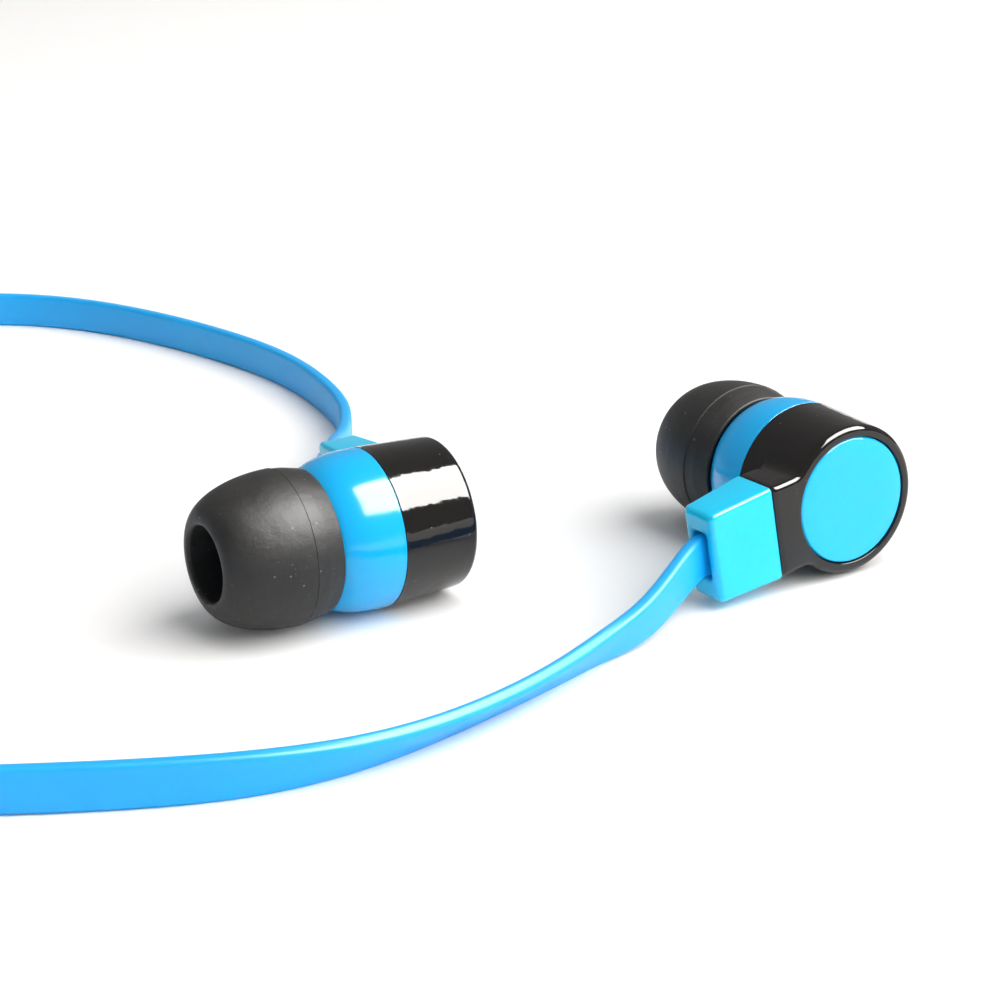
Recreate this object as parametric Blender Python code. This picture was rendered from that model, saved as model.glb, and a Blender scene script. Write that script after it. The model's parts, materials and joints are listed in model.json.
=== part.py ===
"""Wired in-ear earphones with a flat cable: two earbuds, a split flat cable, its coil and a 3.5 mm plug.

Frame: metres, +Z up, the floor at z = 0, +X to the right and +Y away from the viewer.
Each bud is modelled about its own axis: local +Z runs from the flat rear face to the nose, and local +X
is the side on which the cable leaves.
"""
from math import cos, pi, radians, sin

import bmesh
import bpy
import numpy as np
from mathutils import Euler, Matrix, Vector

MM = 0.001

# ---------------------------------------------------------------- placing of the two buds (mm, degrees)
LEFT_REAR = (-8.7, -2.1)        # where the centre of the left bud's rear face stands on the floor plan
LEFT_NOSE_AZIMUTH = 210.6       # the way the nose points, counter-clockwise from +X
LEFT_ROLL = 183.7               # turn about the bud's axis; 180 puts the cable side on the other hand
RIGHT_REAR = (23.2, -3.0)
RIGHT_NOSE_AZIMUTH = 122.6
RIGHT_ROLL = -8.5

# ---------------------------------------------------------------- bud, along its axis from the rear face (mm)
BODY_RADIUS = 6.25              # the widest ring, where the black shell meets the blue one
REAR_RADIUS = 5.95              # the black shell narrows a little to the rear rim
RIM_ROUND = 0.5
SHELL_SPLIT = 6.4               # the line between the black shell and the blue one
CAP_RECESS_RADIUS = 5.1
CAP_RECESS_DEPTH = 0.55
CAP_RADIUS = 5.03
CAP_THICKNESS = 0.5
REAR_CAVITY_RADIUS = 5.25
REAR_CAVITY_FLOOR = 1.2
SPIGOT_RADIUS = 5.6             # the blue shell's spigot sits in the black shell's mouth
SPIGOT_START = 5.0
SPIGOT_GAP = 0.08

LUG_REACH = 7.45                # from the bud's axis to the face that carries the relief block
LUG_HALF_HEIGHT = 3.75
LUG_DEPTH = 4.25
LUG_STEP = 0.03                 # the lug stands this much behind the rim
PASSAGE_HALF_HEIGHT = 3.0
PASSAGE_DEPTHS = (0.8, 2.75)

RELIEF_START = 7.55
RELIEF_END = 13.5
RELIEF_HALF_HEIGHTS = (3.8, 3.65)
RELIEF_DEPTHS = ((0.0, 4.2), (0.0, 3.45))
RELIEF_ROUND = 0.45
PRONG_START = 5.95
PRONG_HALF_HEIGHT = 2.8
PRONG_DEPTHS = (0.95, 2.6)
CHANNEL_HALF_HEIGHT = 1.95
CHANNEL_HALF_DEPTH = 0.75
CABLE_DEPTH = 1.75              # the cable's middle plane, from the rear face

DOME_NOSE = 12.1                # front face of the blue shell, where the nozzle starts
DOME_POWER = 2.9
NOZZLE_RADIUS = 2.4
NOZZLE_END = 17.1
BARB_RADIUS = 2.8
BARB_DEPTHS = (15.9, 16.8)
SOUND_BORE_RADIUS = 1.7
MESH_SEAT_RADIUS = 2.02
MESH_RADIUS = 1.97
MESH_DEPTHS = (16.72, 17.02)
FRONT_CAVITY_RADIUS = 5.0
DRIVER_SHOULDER = 9.75
FUNNEL_END = 11.6

TIP_REAR = 11.27
TIP_REAR_RADIUS = 5.52
TIP_SEAM = 13.72
TIP_SEAM_RADIUS = 5.93
TIP_RADIUS = 6.03
TIP_NOSE = 20.2
TIP_BORE_RADIUS = 2.92
TIP_STEM_RADIUS = 3.55
TIP_STEM_REAR = 12.3
TIP_LIP_RADIUS = 0.55
TIP_WALL = 0.5
TIP_REAR_WALL = 0.3
TIP_DOME_POWER = 2.0

# ---------------------------------------------------------------- driver (mm)
DRIVER_RADIUS = 4.88
FRAME_DEPTHS = (6.3, 9.1)
FRAME_INNER_RADIUS = 4.0
FLANGE_DEPTH = 8.5
YOKE_RADIUS = 3.92
YOKE_DEPTHS = (5.95, 8.2)
YOKE_WALL = 0.45
MAGNET_RADIUS = 2.6
MAGNET_DEPTHS = (6.48, 7.75)
PLATE_RADIUS = 2.75
PLATE_DEPTHS = (7.83, 8.2)
COIL_RADII = (2.95, 3.25)
COIL_DEPTHS = (7.35, 9.2)
DIAPHRAGM_RADIUS = 4.6
DIAPHRAGM_BASE = 9.28
DIAPHRAGM_DOME = 0.22
DIAPHRAGM_THICKNESS = 0.1
BOARD_SIZE = (5.0, 2.4)
BOARD_DEPTHS = (5.35, 5.85)
WIRE_RADIUS = 0.2
WIRE_OFFSET = 0.8
ANCHOR_REACHES = (4.3, 5.8)
ANCHOR_HALF_HEIGHT = 2.6
ANCHOR_DEPTHS = (0.95, 2.55)
CABLE_START = 4.6

# ---------------------------------------------------------------- flat cable (mm)
CABLE_WIDTH = 3.4
CABLE_THICKNESS = 1.1
CABLE_STEP = 5.5                # distance between two points of a cable's curve
STRAIGHT_EXIT = (0.6, 2.6)      # the first points outside the relief block, on the channel's line
COIL_CENTRE = (-106.8, 0.0)
TURN_PITCH = 1.5
OUTER_TURN = 29.2               # centreline radius of the outermost turn
RING_OUTER = 25.3               # the coil's turned solid
RING_INNER = 17.6
SPLITTER_ANGLE = 312.0
SPLITTER_SIZE = (13.0, 4.6, 4.2)

# the branches' centrelines after the relief block: x, y, height of the middle (mm), lean (degrees)
RIGHT_ROUTE = (
    (6.9, -15.0, 2.4, -8), (3.3, -19.2, 1.65, -28), (-0.5, -23.8, 1.4, -42), (-4.7, -28.6, 1.35, -48),
    (-9.4, -33.2, 1.4, -44), (-14.8, -37.1, 1.55, -31), (-20.9, -39.5, 1.67, -14), (-28.0, -40.5, 1.7, -3),
    (-37.0, -40.7, 1.7, 0), (-48.0, -39.6, 1.7, 0), (-59.5, -34.4, 1.7, 0), (-68.4, -24.2, 1.7, 0),
    (-73.5, -12.0, 1.7, 0), (-75.7, 0.0, 1.7, 0), (-79.0, 11.0, 1.7, 0), (-85.5, 19.3, 1.7, 0),
)
LEFT_ROUTE = (
    (-18.1, 15.1, 4.6, 0), (-18.1, 20.3, 3.65, 0), (-17.8, 26.2, 2.5, 0), (-17.7, 32.0, 1.85, 0),
    (-18.2, 37.8, 1.7, 0), (-20.1, 44.6, 1.7, 0), (-23.6, 52.6, 1.7, 0), (-29.4, 61.2, 1.7, 0),
    (-38.2, 70.6, 1.7, 0), (-47.6, 77.8, 1.7, 0), (-57.5, 81.4, 1.7, 0), (-68.0, 80.0, 1.7, 0),
    (-77.6, 72.5, 1.7, 0), (-84.0, 60.5, 1.7, 0), (-88.8, 47.5, 1.7, 0), (-95.6, 36.5, 1.7, 0),
)
LEAD_GAP = 0.25                 # between the lead turn and the coil's turned solid
LEAD_IN = (28.0, 345.0, 410.0)  # the lead's radius after the splitter, and the angles of its move inward
LEAD_END = 250.0                # where the first whole turn of the main cable goes under the coil's outer side
TAIL_TURN = 16.7                # centreline radius of the innermost turn, inside the coil's solid
TAIL_START = 20.0               # where the tail leaves the coil, as a turn about its centre
# the tail's points between the innermost turn and the plug, in the plug's floor frame (mm)
TAIL_ROUTE = ((10.5, 12.6, 1.7), (5.0, 15.4, 1.75), (-1.0, 15.2, 2.1), (-5.6, 11.6, 2.6))

# ---------------------------------------------------------------- 3.5 mm plug, from the shoulder out (mm)
PLUG_AZIMUTH = 25.0             # the way the pin points
PLUG_HEAD = (-7.6, -8.0)        # where the plug's two axes cross, from the coil's centre, turned with the plug
PLUG_AXIS_HEIGHT = 3.25
PLUG_BODY_REACHES = (-3.6, 8.4)
PLUG_BODY_HALF = 3.2
PLUG_NECK_END = 12.4            # the moulded neck that the cable enters
PLUG_NECK_HALVES = ((2.7, 1.9), (2.3, 1.2))
PLUG_CABLE_START = 8.6
COLLAR_RADIUS = 2.9
COLLAR_DEPTHS = (3.25, 4.3)
PIN_RADIUS = 1.75
PIN_BORE_RADIUS = 0.62
PIN_ROD_RADIUS = 0.55
PIN_GAP = 0.05
PIN_SECTIONS = (6.8, 0.6, 2.4, 0.6, 3.6)    # sleeve, insulator, ring, insulator, tip: 14 mm in all
INSULATOR_RADIUS = 1.62
TIP_GROOVE_RADIUS = 1.2
ROD_START = 1.0

ROUND_SEGMENTS = 28
INNER_SEGMENTS = 18
PIN_SEGMENTS = 18


# ---------------------------------------------------------------- scene, materials, placing

def clear_scene():
    for item in list(bpy.data.objects):
        bpy.data.objects.remove(item)


def material(name, colour, roughness, metallic=0.0):
    """A Principled material, made once for each name."""
    found = bpy.data.materials.get(name)
    if found:
        return found
    made = bpy.data.materials.new(name)
    made.use_nodes = True
    shader = made.node_tree.nodes["Principled BSDF"]
    shader.inputs["Base Color"].default_value = (*colour, 1.0)
    shader.inputs["Roughness"].default_value = roughness
    shader.inputs["Metallic"].default_value = metallic
    return made


def black_shell():
    return material("black_shell", (0.012, 0.011, 0.011), 0.12)


def blue_shell():
    return material("blue_shell", (0.03, 0.46, 0.86), 0.15)


def blue_rubber():
    return material("blue_rubber", (0.04, 0.42, 0.85), 0.4)


def silicone():
    return material("silicone", (0.045, 0.044, 0.046), 0.62)


def steel():
    return material("steel", (0.55, 0.55, 0.56), 0.3, 1.0)


def gold():
    return material("gold", (0.83, 0.62, 0.27), 0.22, 1.0)


def copper():
    return material("copper", (0.72, 0.34, 0.18), 0.35, 1.0)


def film():
    return material("film", (0.6, 0.62, 0.64), 0.3)


def board_green():
    return material("board_green", (0.03, 0.22, 0.1), 0.5)


def black_plastic():
    return material("black_plastic", (0.02, 0.02, 0.02), 0.5)


def frame_empty(name, matrix):
    """An empty that carries the pieces of one sub-assembly."""
    empty = bpy.data.objects.new(name, None)
    empty.matrix_world = matrix
    bpy.context.scene.collection.objects.link(empty)
    return empty


def add_object(name, data, parent=None, finish=None, smooth_angle=radians(35)):
    """Link an object under its parent's frame, with its material."""
    item = bpy.data.objects.new(name, data)
    bpy.context.scene.collection.objects.link(item)
    if parent:
        item.parent = parent
    if finish:
        data.materials.append(finish)
    if isinstance(data, bpy.types.Mesh):
        data.shade_smooth()
        data.set_sharp_from_angle(angle=smooth_angle)
    return item


def mesh_from(name, bm):
    bmesh.ops.recalc_face_normals(bm, faces=bm.faces[:])
    data = bpy.data.meshes.new(name)
    bm.to_mesh(data)
    bm.free()
    return data


def make_guide(item):
    item.hide_render = True
    item.display_type = 'WIRE'
    return item


def boolean(item, other, operation):
    """Combine an item with a hidden helper solid."""
    step = item.modifiers.new(operation.lower() + "_" + other.name, 'BOOLEAN')
    step.operation = operation
    step.object = make_guide(other)
    step.solver = 'EXACT'


# ---------------------------------------------------------------- basic shapes (input in mm)

def turned(name, profile, segments):
    """Turn a closed outline of (radius, depth) pairs about local Z; points on the axis become poles."""
    bm = bmesh.new()
    ring = [bm.verts.new((radius * MM, 0.0, depth * MM)) for radius, depth in profile]
    edges = [bm.edges.new((ring[i], ring[(i + 1) % len(ring)])) for i in range(len(ring))
             if profile[i][0] > 0 or profile[(i + 1) % len(ring)][0] > 0]
    bmesh.ops.spin(bm, geom=ring + edges, cent=(0, 0, 0), axis=(0, 0, 1), angle=2 * pi, steps=segments,
                   use_merge=True, use_duplicate=False)
    bmesh.ops.remove_doubles(bm, verts=bm.verts[:], dist=0.001 * MM)
    bmesh.ops.dissolve_degenerate(bm, edges=bm.edges[:], dist=0.001 * MM)
    return mesh_from(name, bm)


def tapered_block(name, near, far):
    """A block between two rectangles at two reaches along local X.

    Each end is (reach, half height, (depth from, depth to)); height is local Y, depth is local Z.
    """
    bm = bmesh.new()
    ends = []
    for reach, half, (low, high) in (near, far):
        corners = ((-half, low), (half, low), (half, high), (-half, high))
        ends.append([bm.verts.new((reach * MM, y * MM, z * MM)) for y, z in corners])
    bm.faces.new(ends[0])
    bm.faces.new(reversed(ends[1]))
    for i in range(4):
        j = (i + 1) % 4
        bm.faces.new((ends[0][i], ends[1][i], ends[1][j], ends[0][j]))
    return mesh_from(name, bm)


def box(name, low, high):
    """An upright block between two corners."""
    return tapered_block(name, (low[0], (high[1] - low[1]) / 2, (low[2], high[2])),
                         (high[0], (high[1] - low[1]) / 2, (low[2], high[2])))


def bevel(item, width, segments):
    step = item.modifiers.new("rounded_edges", 'BEVEL')
    step.width = width * MM
    step.segments = segments
    step.limit_method = 'ANGLE'
    step.angle_limit = radians(40)
    return step


def arc(centre, radius, start, end, steps):
    """Points (radius, depth) of an arc, angles in degrees from the outward direction."""
    points = []
    for k in range(steps + 1):
        angle = radians(start + (end - start) * k / steps)
        points.append((centre[0] + radius * cos(angle), centre[1] + radius * sin(angle)))
    return points


def super_arc(radius, length, base_radius, base_depth, power, start, end, steps):
    """Part of a superellipse quarter: from the widest ring (0) towards the nose (1)."""
    points = []
    for k in range(steps + 1):
        angle = (start + (end - start) * k / steps) * pi / 2
        points.append((base_radius + radius * cos(angle) ** (2 / power),
                       base_depth + length * sin(angle) ** (2 / power)))
    return points


# ---------------------------------------------------------------- pieces of a bud

def rear_housing(side, frame):
    """Black rear shell: a turned cup with a rectangular side lug, hollow from the front."""
    outline = [(0.0, 0.0), (REAR_RADIUS - RIM_ROUND, 0.0)]
    outline += arc((REAR_RADIUS - RIM_ROUND, RIM_ROUND), RIM_ROUND, -90, 0, 4)[1:]
    outline += [(BODY_RADIUS, SHELL_SPLIT), (0.0, SHELL_SPLIT)]
    shell = add_object(side + "_rear_housing", turned("rear_shell", outline, ROUND_SEGMENTS), frame, black_shell())
    lug_half = (LUG_HALF_HEIGHT, (LUG_STEP, LUG_DEPTH))
    lug = add_object(side + "_lug_block", tapered_block("lug", (2.0, *lug_half), (LUG_REACH, *lug_half)), frame)
    bevel(lug, 0.3, 2)
    hollow = [(0.0, REAR_CAVITY_FLOOR), (REAR_CAVITY_RADIUS, REAR_CAVITY_FLOOR),
              (REAR_CAVITY_RADIUS, SPIGOT_START - 0.1), (SPIGOT_RADIUS + SPIGOT_GAP, SPIGOT_START - 0.1),
              (SPIGOT_RADIUS + SPIGOT_GAP, SHELL_SPLIT + 1), (0.0, SHELL_SPLIT + 1)]
    cavity = add_object(side + "_rear_cavity", turned("rear_cavity", hollow, ROUND_SEGMENTS), frame)
    seat = [(0.0, -1.0), (CAP_RECESS_RADIUS, -1.0), (CAP_RECESS_RADIUS, CAP_RECESS_DEPTH), (0.0, CAP_RECESS_DEPTH)]
    recess = add_object(side + "_cap_seat", turned("cap_seat", seat, ROUND_SEGMENTS), frame)
    passage_shape = (PASSAGE_HALF_HEIGHT, PASSAGE_DEPTHS)
    passage = add_object(side + "_lug_passage",
                         tapered_block("passage", (4.0, *passage_shape), (LUG_REACH + 1, *passage_shape)), frame)
    boolean(shell, lug, 'UNION')
    for cutter in (cavity, recess, passage):
        boolean(shell, cutter, 'DIFFERENCE')
    return shell


def end_cap(side, frame):
    """Blue inlay in the rear face, with a softly rounded edge."""
    outer = CAP_RECESS_DEPTH - CAP_THICKNESS
    outline = [(0.0, outer - 0.03), (CAP_RADIUS - 0.9, outer - 0.01)]
    outline += arc((CAP_RADIUS - 0.3, outer + 0.3), 0.3, -90, 0, 3)
    outline += [(CAP_RADIUS, CAP_RECESS_DEPTH - 0.04), (0.0, CAP_RECESS_DEPTH - 0.04)]
    return add_object(side + "_end_cap", turned("end_cap", outline, ROUND_SEGMENTS), frame, blue_shell())


def strain_relief(side, frame):
    """Blue block on the lug, tapering to the cable, with prongs that reach into the lug."""
    near = (RELIEF_START, RELIEF_HALF_HEIGHTS[0], RELIEF_DEPTHS[0])
    far = (RELIEF_END, RELIEF_HALF_HEIGHTS[1], RELIEF_DEPTHS[1])
    block = add_object(side + "_strain_relief", tapered_block("relief", near, far), frame, blue_rubber())
    bevel(block, RELIEF_ROUND, 3)
    prong_shape = (PRONG_HALF_HEIGHT, PRONG_DEPTHS)
    prongs = add_object(side + "_relief_prongs",
                        tapered_block("prongs", (PRONG_START, *prong_shape), (RELIEF_START + 1, *prong_shape)), frame)
    depths = (CABLE_DEPTH - CHANNEL_HALF_DEPTH, CABLE_DEPTH + CHANNEL_HALF_DEPTH)
    channel_shape = (CHANNEL_HALF_HEIGHT, depths)
    channel = add_object(side + "_cable_channel",
                         tapered_block("channel", (RELIEF_START - 0.5, *channel_shape),
                                       (RELIEF_END + 1, *channel_shape)), frame)
    mouth_shape = (CHANNEL_HALF_HEIGHT, (PRONG_DEPTHS[0] - 0.5, PRONG_DEPTHS[1] + 0.5))
    mouth = add_object(side + "_prong_gap",
                       tapered_block("prong_gap", (PRONG_START - 0.5, *mouth_shape),
                                     (RELIEF_START - 0.4, *mouth_shape)), frame)
    boolean(block, prongs, 'UNION')
    boolean(block, channel, 'DIFFERENCE')
    boolean(block, mouth, 'DIFFERENCE')
    return block


def front_housing(side, frame):
    """Blue front shell: spigot, domed outside, driver seat, nozzle with a barb."""
    dome = super_arc(BODY_RADIUS - NOZZLE_RADIUS, DOME_NOSE - SHELL_SPLIT, NOZZLE_RADIUS, SHELL_SPLIT,
                     DOME_POWER, 0.0, 1.0, 9)
    outline = [(SPIGOT_RADIUS, SPIGOT_START), (SPIGOT_RADIUS, SHELL_SPLIT + 0.04),
               (BODY_RADIUS, SHELL_SPLIT + 0.04)]
    outline += dome[1:]
    outline += [(NOZZLE_RADIUS, BARB_DEPTHS[0] - 0.2), (BARB_RADIUS, BARB_DEPTHS[0]),
                (BARB_RADIUS - 0.05, BARB_DEPTHS[1] - 0.3), (NOZZLE_RADIUS, NOZZLE_END),
                (MESH_SEAT_RADIUS, NOZZLE_END), (MESH_SEAT_RADIUS, MESH_DEPTHS[0] - 0.05),
                (SOUND_BORE_RADIUS, MESH_DEPTHS[0] - 0.05), (SOUND_BORE_RADIUS, FUNNEL_END),
                (FRONT_CAVITY_RADIUS - 0.7, DRIVER_SHOULDER), (FRONT_CAVITY_RADIUS, DRIVER_SHOULDER),
                (FRONT_CAVITY_RADIUS, SPIGOT_START)]
    return add_object(side + "_front_housing", turned("front_shell", outline, ROUND_SEGMENTS), frame, blue_shell())


def nozzle_mesh(side, frame):
    low, high = MESH_DEPTHS
    outline = [(0.0, low), (MESH_RADIUS, low), (MESH_RADIUS, high), (0.0, high)]
    return add_object(side + "_nozzle_mesh", turned("nozzle_mesh", outline, INNER_SEGMENTS), frame, steel())


def ear_tip_outline():
    """Outer skirt, dome, rounded lip, straight bore, stem, and the hollow under the dome."""
    lip_centre_radius = TIP_BORE_RADIUS + TIP_LIP_RADIUS
    lip_centre_depth = TIP_NOSE - TIP_LIP_RADIUS
    outside = [(TIP_REAR_RADIUS, TIP_REAR), (TIP_SEAM_RADIUS, TIP_SEAM)]
    outside += super_arc(TIP_RADIUS - lip_centre_radius, TIP_NOSE - TIP_SEAM - 0.05, lip_centre_radius,
                         TIP_SEAM + 0.05, TIP_DOME_POWER, 0.0, 1.0, 9)
    lip = arc((lip_centre_radius, lip_centre_depth), TIP_LIP_RADIUS, 90, 180, 4)[1:]
    stem = [(TIP_BORE_RADIUS, TIP_STEM_REAR), (TIP_STEM_RADIUS, TIP_STEM_REAR), (TIP_STEM_RADIUS, TIP_NOSE - 2.4)]
    inside = super_arc(TIP_RADIUS - TIP_WALL - TIP_STEM_RADIUS - 0.4, TIP_NOSE - TIP_SEAM - 1.5,
                       TIP_STEM_RADIUS + 0.4, TIP_SEAM, TIP_DOME_POWER, 0.9, 0.0, 5)
    return outside + lip + stem + inside + [(TIP_REAR_RADIUS - TIP_REAR_WALL, TIP_REAR)]


def ear_tip(side, frame):
    """Silicone mushroom tip, drawn at its size on the nozzle."""
    return add_object(side + "_ear_tip", turned("ear_tip", ear_tip_outline(), ROUND_SEGMENTS), frame, silicone())


def driver(side, frame):
    """The 10 mm dynamic driver: frame, yoke, magnet, plate, coil and diaphragm."""
    low, high = FRAME_DEPTHS
    ring = [(FRAME_INNER_RADIUS, low), (DRIVER_RADIUS, low), (DRIVER_RADIUS, high),
            (DRIVER_RADIUS - 0.3, high), (DRIVER_RADIUS - 0.3, FLANGE_DEPTH), (FRAME_INNER_RADIUS, FLANGE_DEPTH)]
    low, high = YOKE_DEPTHS
    inner = YOKE_RADIUS - YOKE_WALL
    yoke = [(0.0, low), (YOKE_RADIUS, low), (YOKE_RADIUS, high), (inner, high), (inner, low + YOKE_WALL),
            (0.0, low + YOKE_WALL)]
    magnet = [(0.0, MAGNET_DEPTHS[0]), (MAGNET_RADIUS, MAGNET_DEPTHS[0]), (MAGNET_RADIUS, MAGNET_DEPTHS[1]),
              (0.0, MAGNET_DEPTHS[1])]
    plate = [(0.0, PLATE_DEPTHS[0]), (PLATE_RADIUS, PLATE_DEPTHS[0]), (PLATE_RADIUS, PLATE_DEPTHS[1]),
             (0.0, PLATE_DEPTHS[1])]
    coil = [(COIL_RADII[0], COIL_DEPTHS[0]), (COIL_RADII[1], COIL_DEPTHS[0]), (COIL_RADII[1], COIL_DEPTHS[1]),
            (COIL_RADII[0], COIL_DEPTHS[1])]
    edge = DIAPHRAGM_BASE
    crown = edge + DIAPHRAGM_DOME
    skin = [(0.0, crown), (1.6, crown - 0.04), (3.1, edge), (3.9, edge + 0.12), (DIAPHRAGM_RADIUS, edge)]
    cone = skin + [(radius, depth + DIAPHRAGM_THICKNESS) for radius, depth in reversed(skin)]
    add_object(side + "_driver_frame", turned("driver_frame", ring, INNER_SEGMENTS), frame, black_plastic())
    add_object(side + "_driver_yoke", turned("driver_yoke", yoke, INNER_SEGMENTS), frame, steel())
    add_object(side + "_driver_magnet", turned("driver_magnet", magnet, INNER_SEGMENTS), frame, steel())
    add_object(side + "_driver_plate", turned("driver_plate", plate, INNER_SEGMENTS), frame, steel())
    add_object(side + "_voice_coil", turned("voice_coil", coil, INNER_SEGMENTS), frame, copper())
    add_object(side + "_diaphragm", turned("diaphragm", cone, INNER_SEGMENTS), frame, film())


def wiring(side, frame):
    """Solder board on the yoke, the cable's crimp in the lug, and two leads between them."""
    length, height = BOARD_SIZE
    low, high = BOARD_DEPTHS
    add_object(side + "_terminal_board",
               box("terminal_board", (-length / 2, -height / 2, low), (length / 2, height / 2, high)),
               frame, board_green())
    anchor_shape = (ANCHOR_HALF_HEIGHT, ANCHOR_DEPTHS)
    anchor = add_object(side + "_cable_anchor",
                        tapered_block("cable_anchor", (ANCHOR_REACHES[0], *anchor_shape),
                                      (ANCHOR_REACHES[1], *anchor_shape)), frame, steel())
    depths = (CABLE_DEPTH - CABLE_THICKNESS / 2 - 0.08, CABLE_DEPTH + CABLE_THICKNESS / 2 + 0.08)
    slot_shape = (CABLE_WIDTH / 2 + 0.1, depths)
    slot = add_object(side + "_anchor_slot",
                      tapered_block("anchor_slot", (3.0, *slot_shape), (7.0, *slot_shape)), frame)
    boolean(anchor, slot, 'DIFFERENCE')
    for letter, sign in (("a", 1), ("b", -1)):
        y = sign * WIRE_OFFSET
        route = [(4.2, y, CABLE_DEPTH), (3.2, y, CABLE_DEPTH + 0.3), (2.0, y, 3.2), (1.5, y, 4.3), (1.4, y, 5.1)]
        wire = round_wire(side + "_lead_wire_" + letter, route, WIRE_RADIUS)
        add_object(side + "_lead_wire_" + letter, wire, frame, copper())


def bud(side, rear, azimuth, roll):
    """One complete earbud on its own frame; returns the frame's matrix."""
    along_nose = Matrix(((0, 0, 1), (1, 0, 0), (0, 1, 0))).to_4x4()
    turn = Matrix.Rotation(radians(azimuth), 4, 'Z') @ Matrix.Rotation(radians(roll), 4, 'X')
    place = Matrix.Translation((rear[0] * MM, rear[1] * MM, BODY_RADIUS * MM)) @ turn @ along_nose
    frame = frame_empty(side + "_bud_frame", place)
    for make in (rear_housing, end_cap, strain_relief, front_housing, nozzle_mesh, ear_tip, driver, wiring):
        make(side, frame)
    return place


# ---------------------------------------------------------------- cables

def spline_through(points, step):
    """Points about a step apart on a natural cubic spline through the given points."""
    points = np.array(points, dtype=float)
    gaps = np.sqrt(np.linalg.norm(np.diff(points[:, :3], axis=0), axis=1))
    knots = np.concatenate(([0.0], np.cumsum(gaps)))
    count = len(points)
    system = np.zeros((count, count))
    right = np.zeros_like(points)
    system[0, 0] = system[-1, -1] = 1.0
    for i in range(1, count - 1):
        before, after = gaps[i - 1], gaps[i]
        system[i, i - 1:i + 2] = before, 2 * (before + after), after
        right[i] = 6 * ((points[i + 1] - points[i]) / after - (points[i] - points[i - 1]) / before)
    bends = np.linalg.solve(system, right)
    fine = np.linspace(0.0, knots[-1], 40 * count)
    section = np.clip(np.searchsorted(knots, fine, side='right') - 1, 0, count - 2)
    gap = gaps[section][:, None]
    left = knots[section + 1][:, None] - fine[:, None]
    rest = fine[:, None] - knots[section][:, None]
    low, high = points[section], points[section + 1]
    bend_low, bend_high = bends[section], bends[section + 1]
    curve = (bend_low * left ** 3 + bend_high * rest ** 3) / (6 * gap)
    curve += (low / gap - bend_low * gap / 6) * left + (high / gap - bend_high * gap / 6) * rest
    travel = np.concatenate(([0.0], np.cumsum(np.linalg.norm(np.diff(curve[:, :3], axis=0), axis=1))))
    stops = np.linspace(0.0, travel[-1], max(2, round(travel[-1] / step)) + 1)
    return [tuple(np.interp(stop, travel, curve[:, k]) for k in range(curve.shape[1])) for stop in stops]


def round_wire(name, route, radius):
    """A thin round wire along a route in mm."""
    data = curve_along(name, [(*point, 0.0) for point in route])
    data.bevel_depth = radius * MM
    data.bevel_resolution = 1
    return data


def curve_along(name, route):
    """A poly curve through (x, y, z, lean) points in mm and degrees."""
    data = bpy.data.curves.new(name, 'CURVE')
    data.dimensions = '3D'
    data.twist_mode = 'Z_UP'
    data.use_fill_caps = True
    line = data.splines.new('POLY')
    line.points.add(len(route) - 1)
    for point, (x, y, z, lean) in zip(line.points, route):
        point.co = (x * MM, y * MM, z * MM, 1.0)
        point.tilt = radians(lean)
    return data


def cable_section():
    """The flat cable's outline, a bar with round edges, as a hidden guide curve."""
    found = bpy.data.objects.get("cable_section")
    if found:
        return found
    half = CABLE_THICKNESS / 2
    straight = CABLE_WIDTH / 2 - half
    outline = [(x, straight + y) for x, y in arc((0, 0), half, 0, 180, 4)]
    outline += [(x, -straight + y) for x, y in arc((0, 0), half, 180, 360, 4)]
    data = bpy.data.curves.new("cable_section", 'CURVE')
    data.dimensions = '2D'
    line = data.splines.new('POLY')
    line.points.add(len(outline) - 1)
    line.use_cyclic_u = True
    for point, (x, y) in zip(line.points, reversed(outline)):
        point.co = (x * MM, y * MM, 0.0, 1.0)
    return make_guide(add_object("cable_section", data))


def flat_cable(name, route):
    """A flat cable standing on its edge along a route."""
    data = curve_along(name, route)
    data.bevel_mode = 'OBJECT'
    data.bevel_object = cable_section()
    return add_object(name, data, None, blue_rubber())


def on_turn(radius, degrees):
    """A point of the coil's plan, in mm, on its floor height."""
    angle = radians(degrees)
    return (COIL_CENTRE[0] + radius * cos(angle), COIL_CENTRE[1] + radius * sin(angle), CABLE_WIDTH / 2, 0.0)


def turn_points(radius_from, radius_to, start, end, step=15):
    count = max(2, round((end - start) / step))
    return [on_turn(radius_from + (radius_to - radius_from) * k / count, start + (end - start) * k / count)
            for k in range(count + 1)]


def from_bud(place, reach):
    """A point on the cable's middle line inside the bud, at a reach from its axis."""
    point = place @ Vector((reach * MM, 0.0, CABLE_DEPTH * MM)) / MM
    return (*point, 0.0)


def splitter_frame():
    """The splitter's middle on the coil, and its heading along the turn."""
    middle = on_turn(OUTER_TURN - TURN_PITCH / 2, SPLITTER_ANGLE)
    return Vector(middle[:3]), radians(SPLITTER_ANGLE + 90)


def splitter_ends():
    """Points where the cables meet the splitter: two on the inlet side, one on the outlet side."""
    middle, heading = splitter_frame()
    along = Vector((cos(heading), sin(heading), 0))
    outward = Vector((sin(heading), -cos(heading), 0))
    reach = SPLITTER_SIZE[0] / 2 + 0.3
    inlet = middle - along * reach
    side = outward * TURN_PITCH / 2
    return inlet + side, inlet - side, middle + along * reach, along


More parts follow.
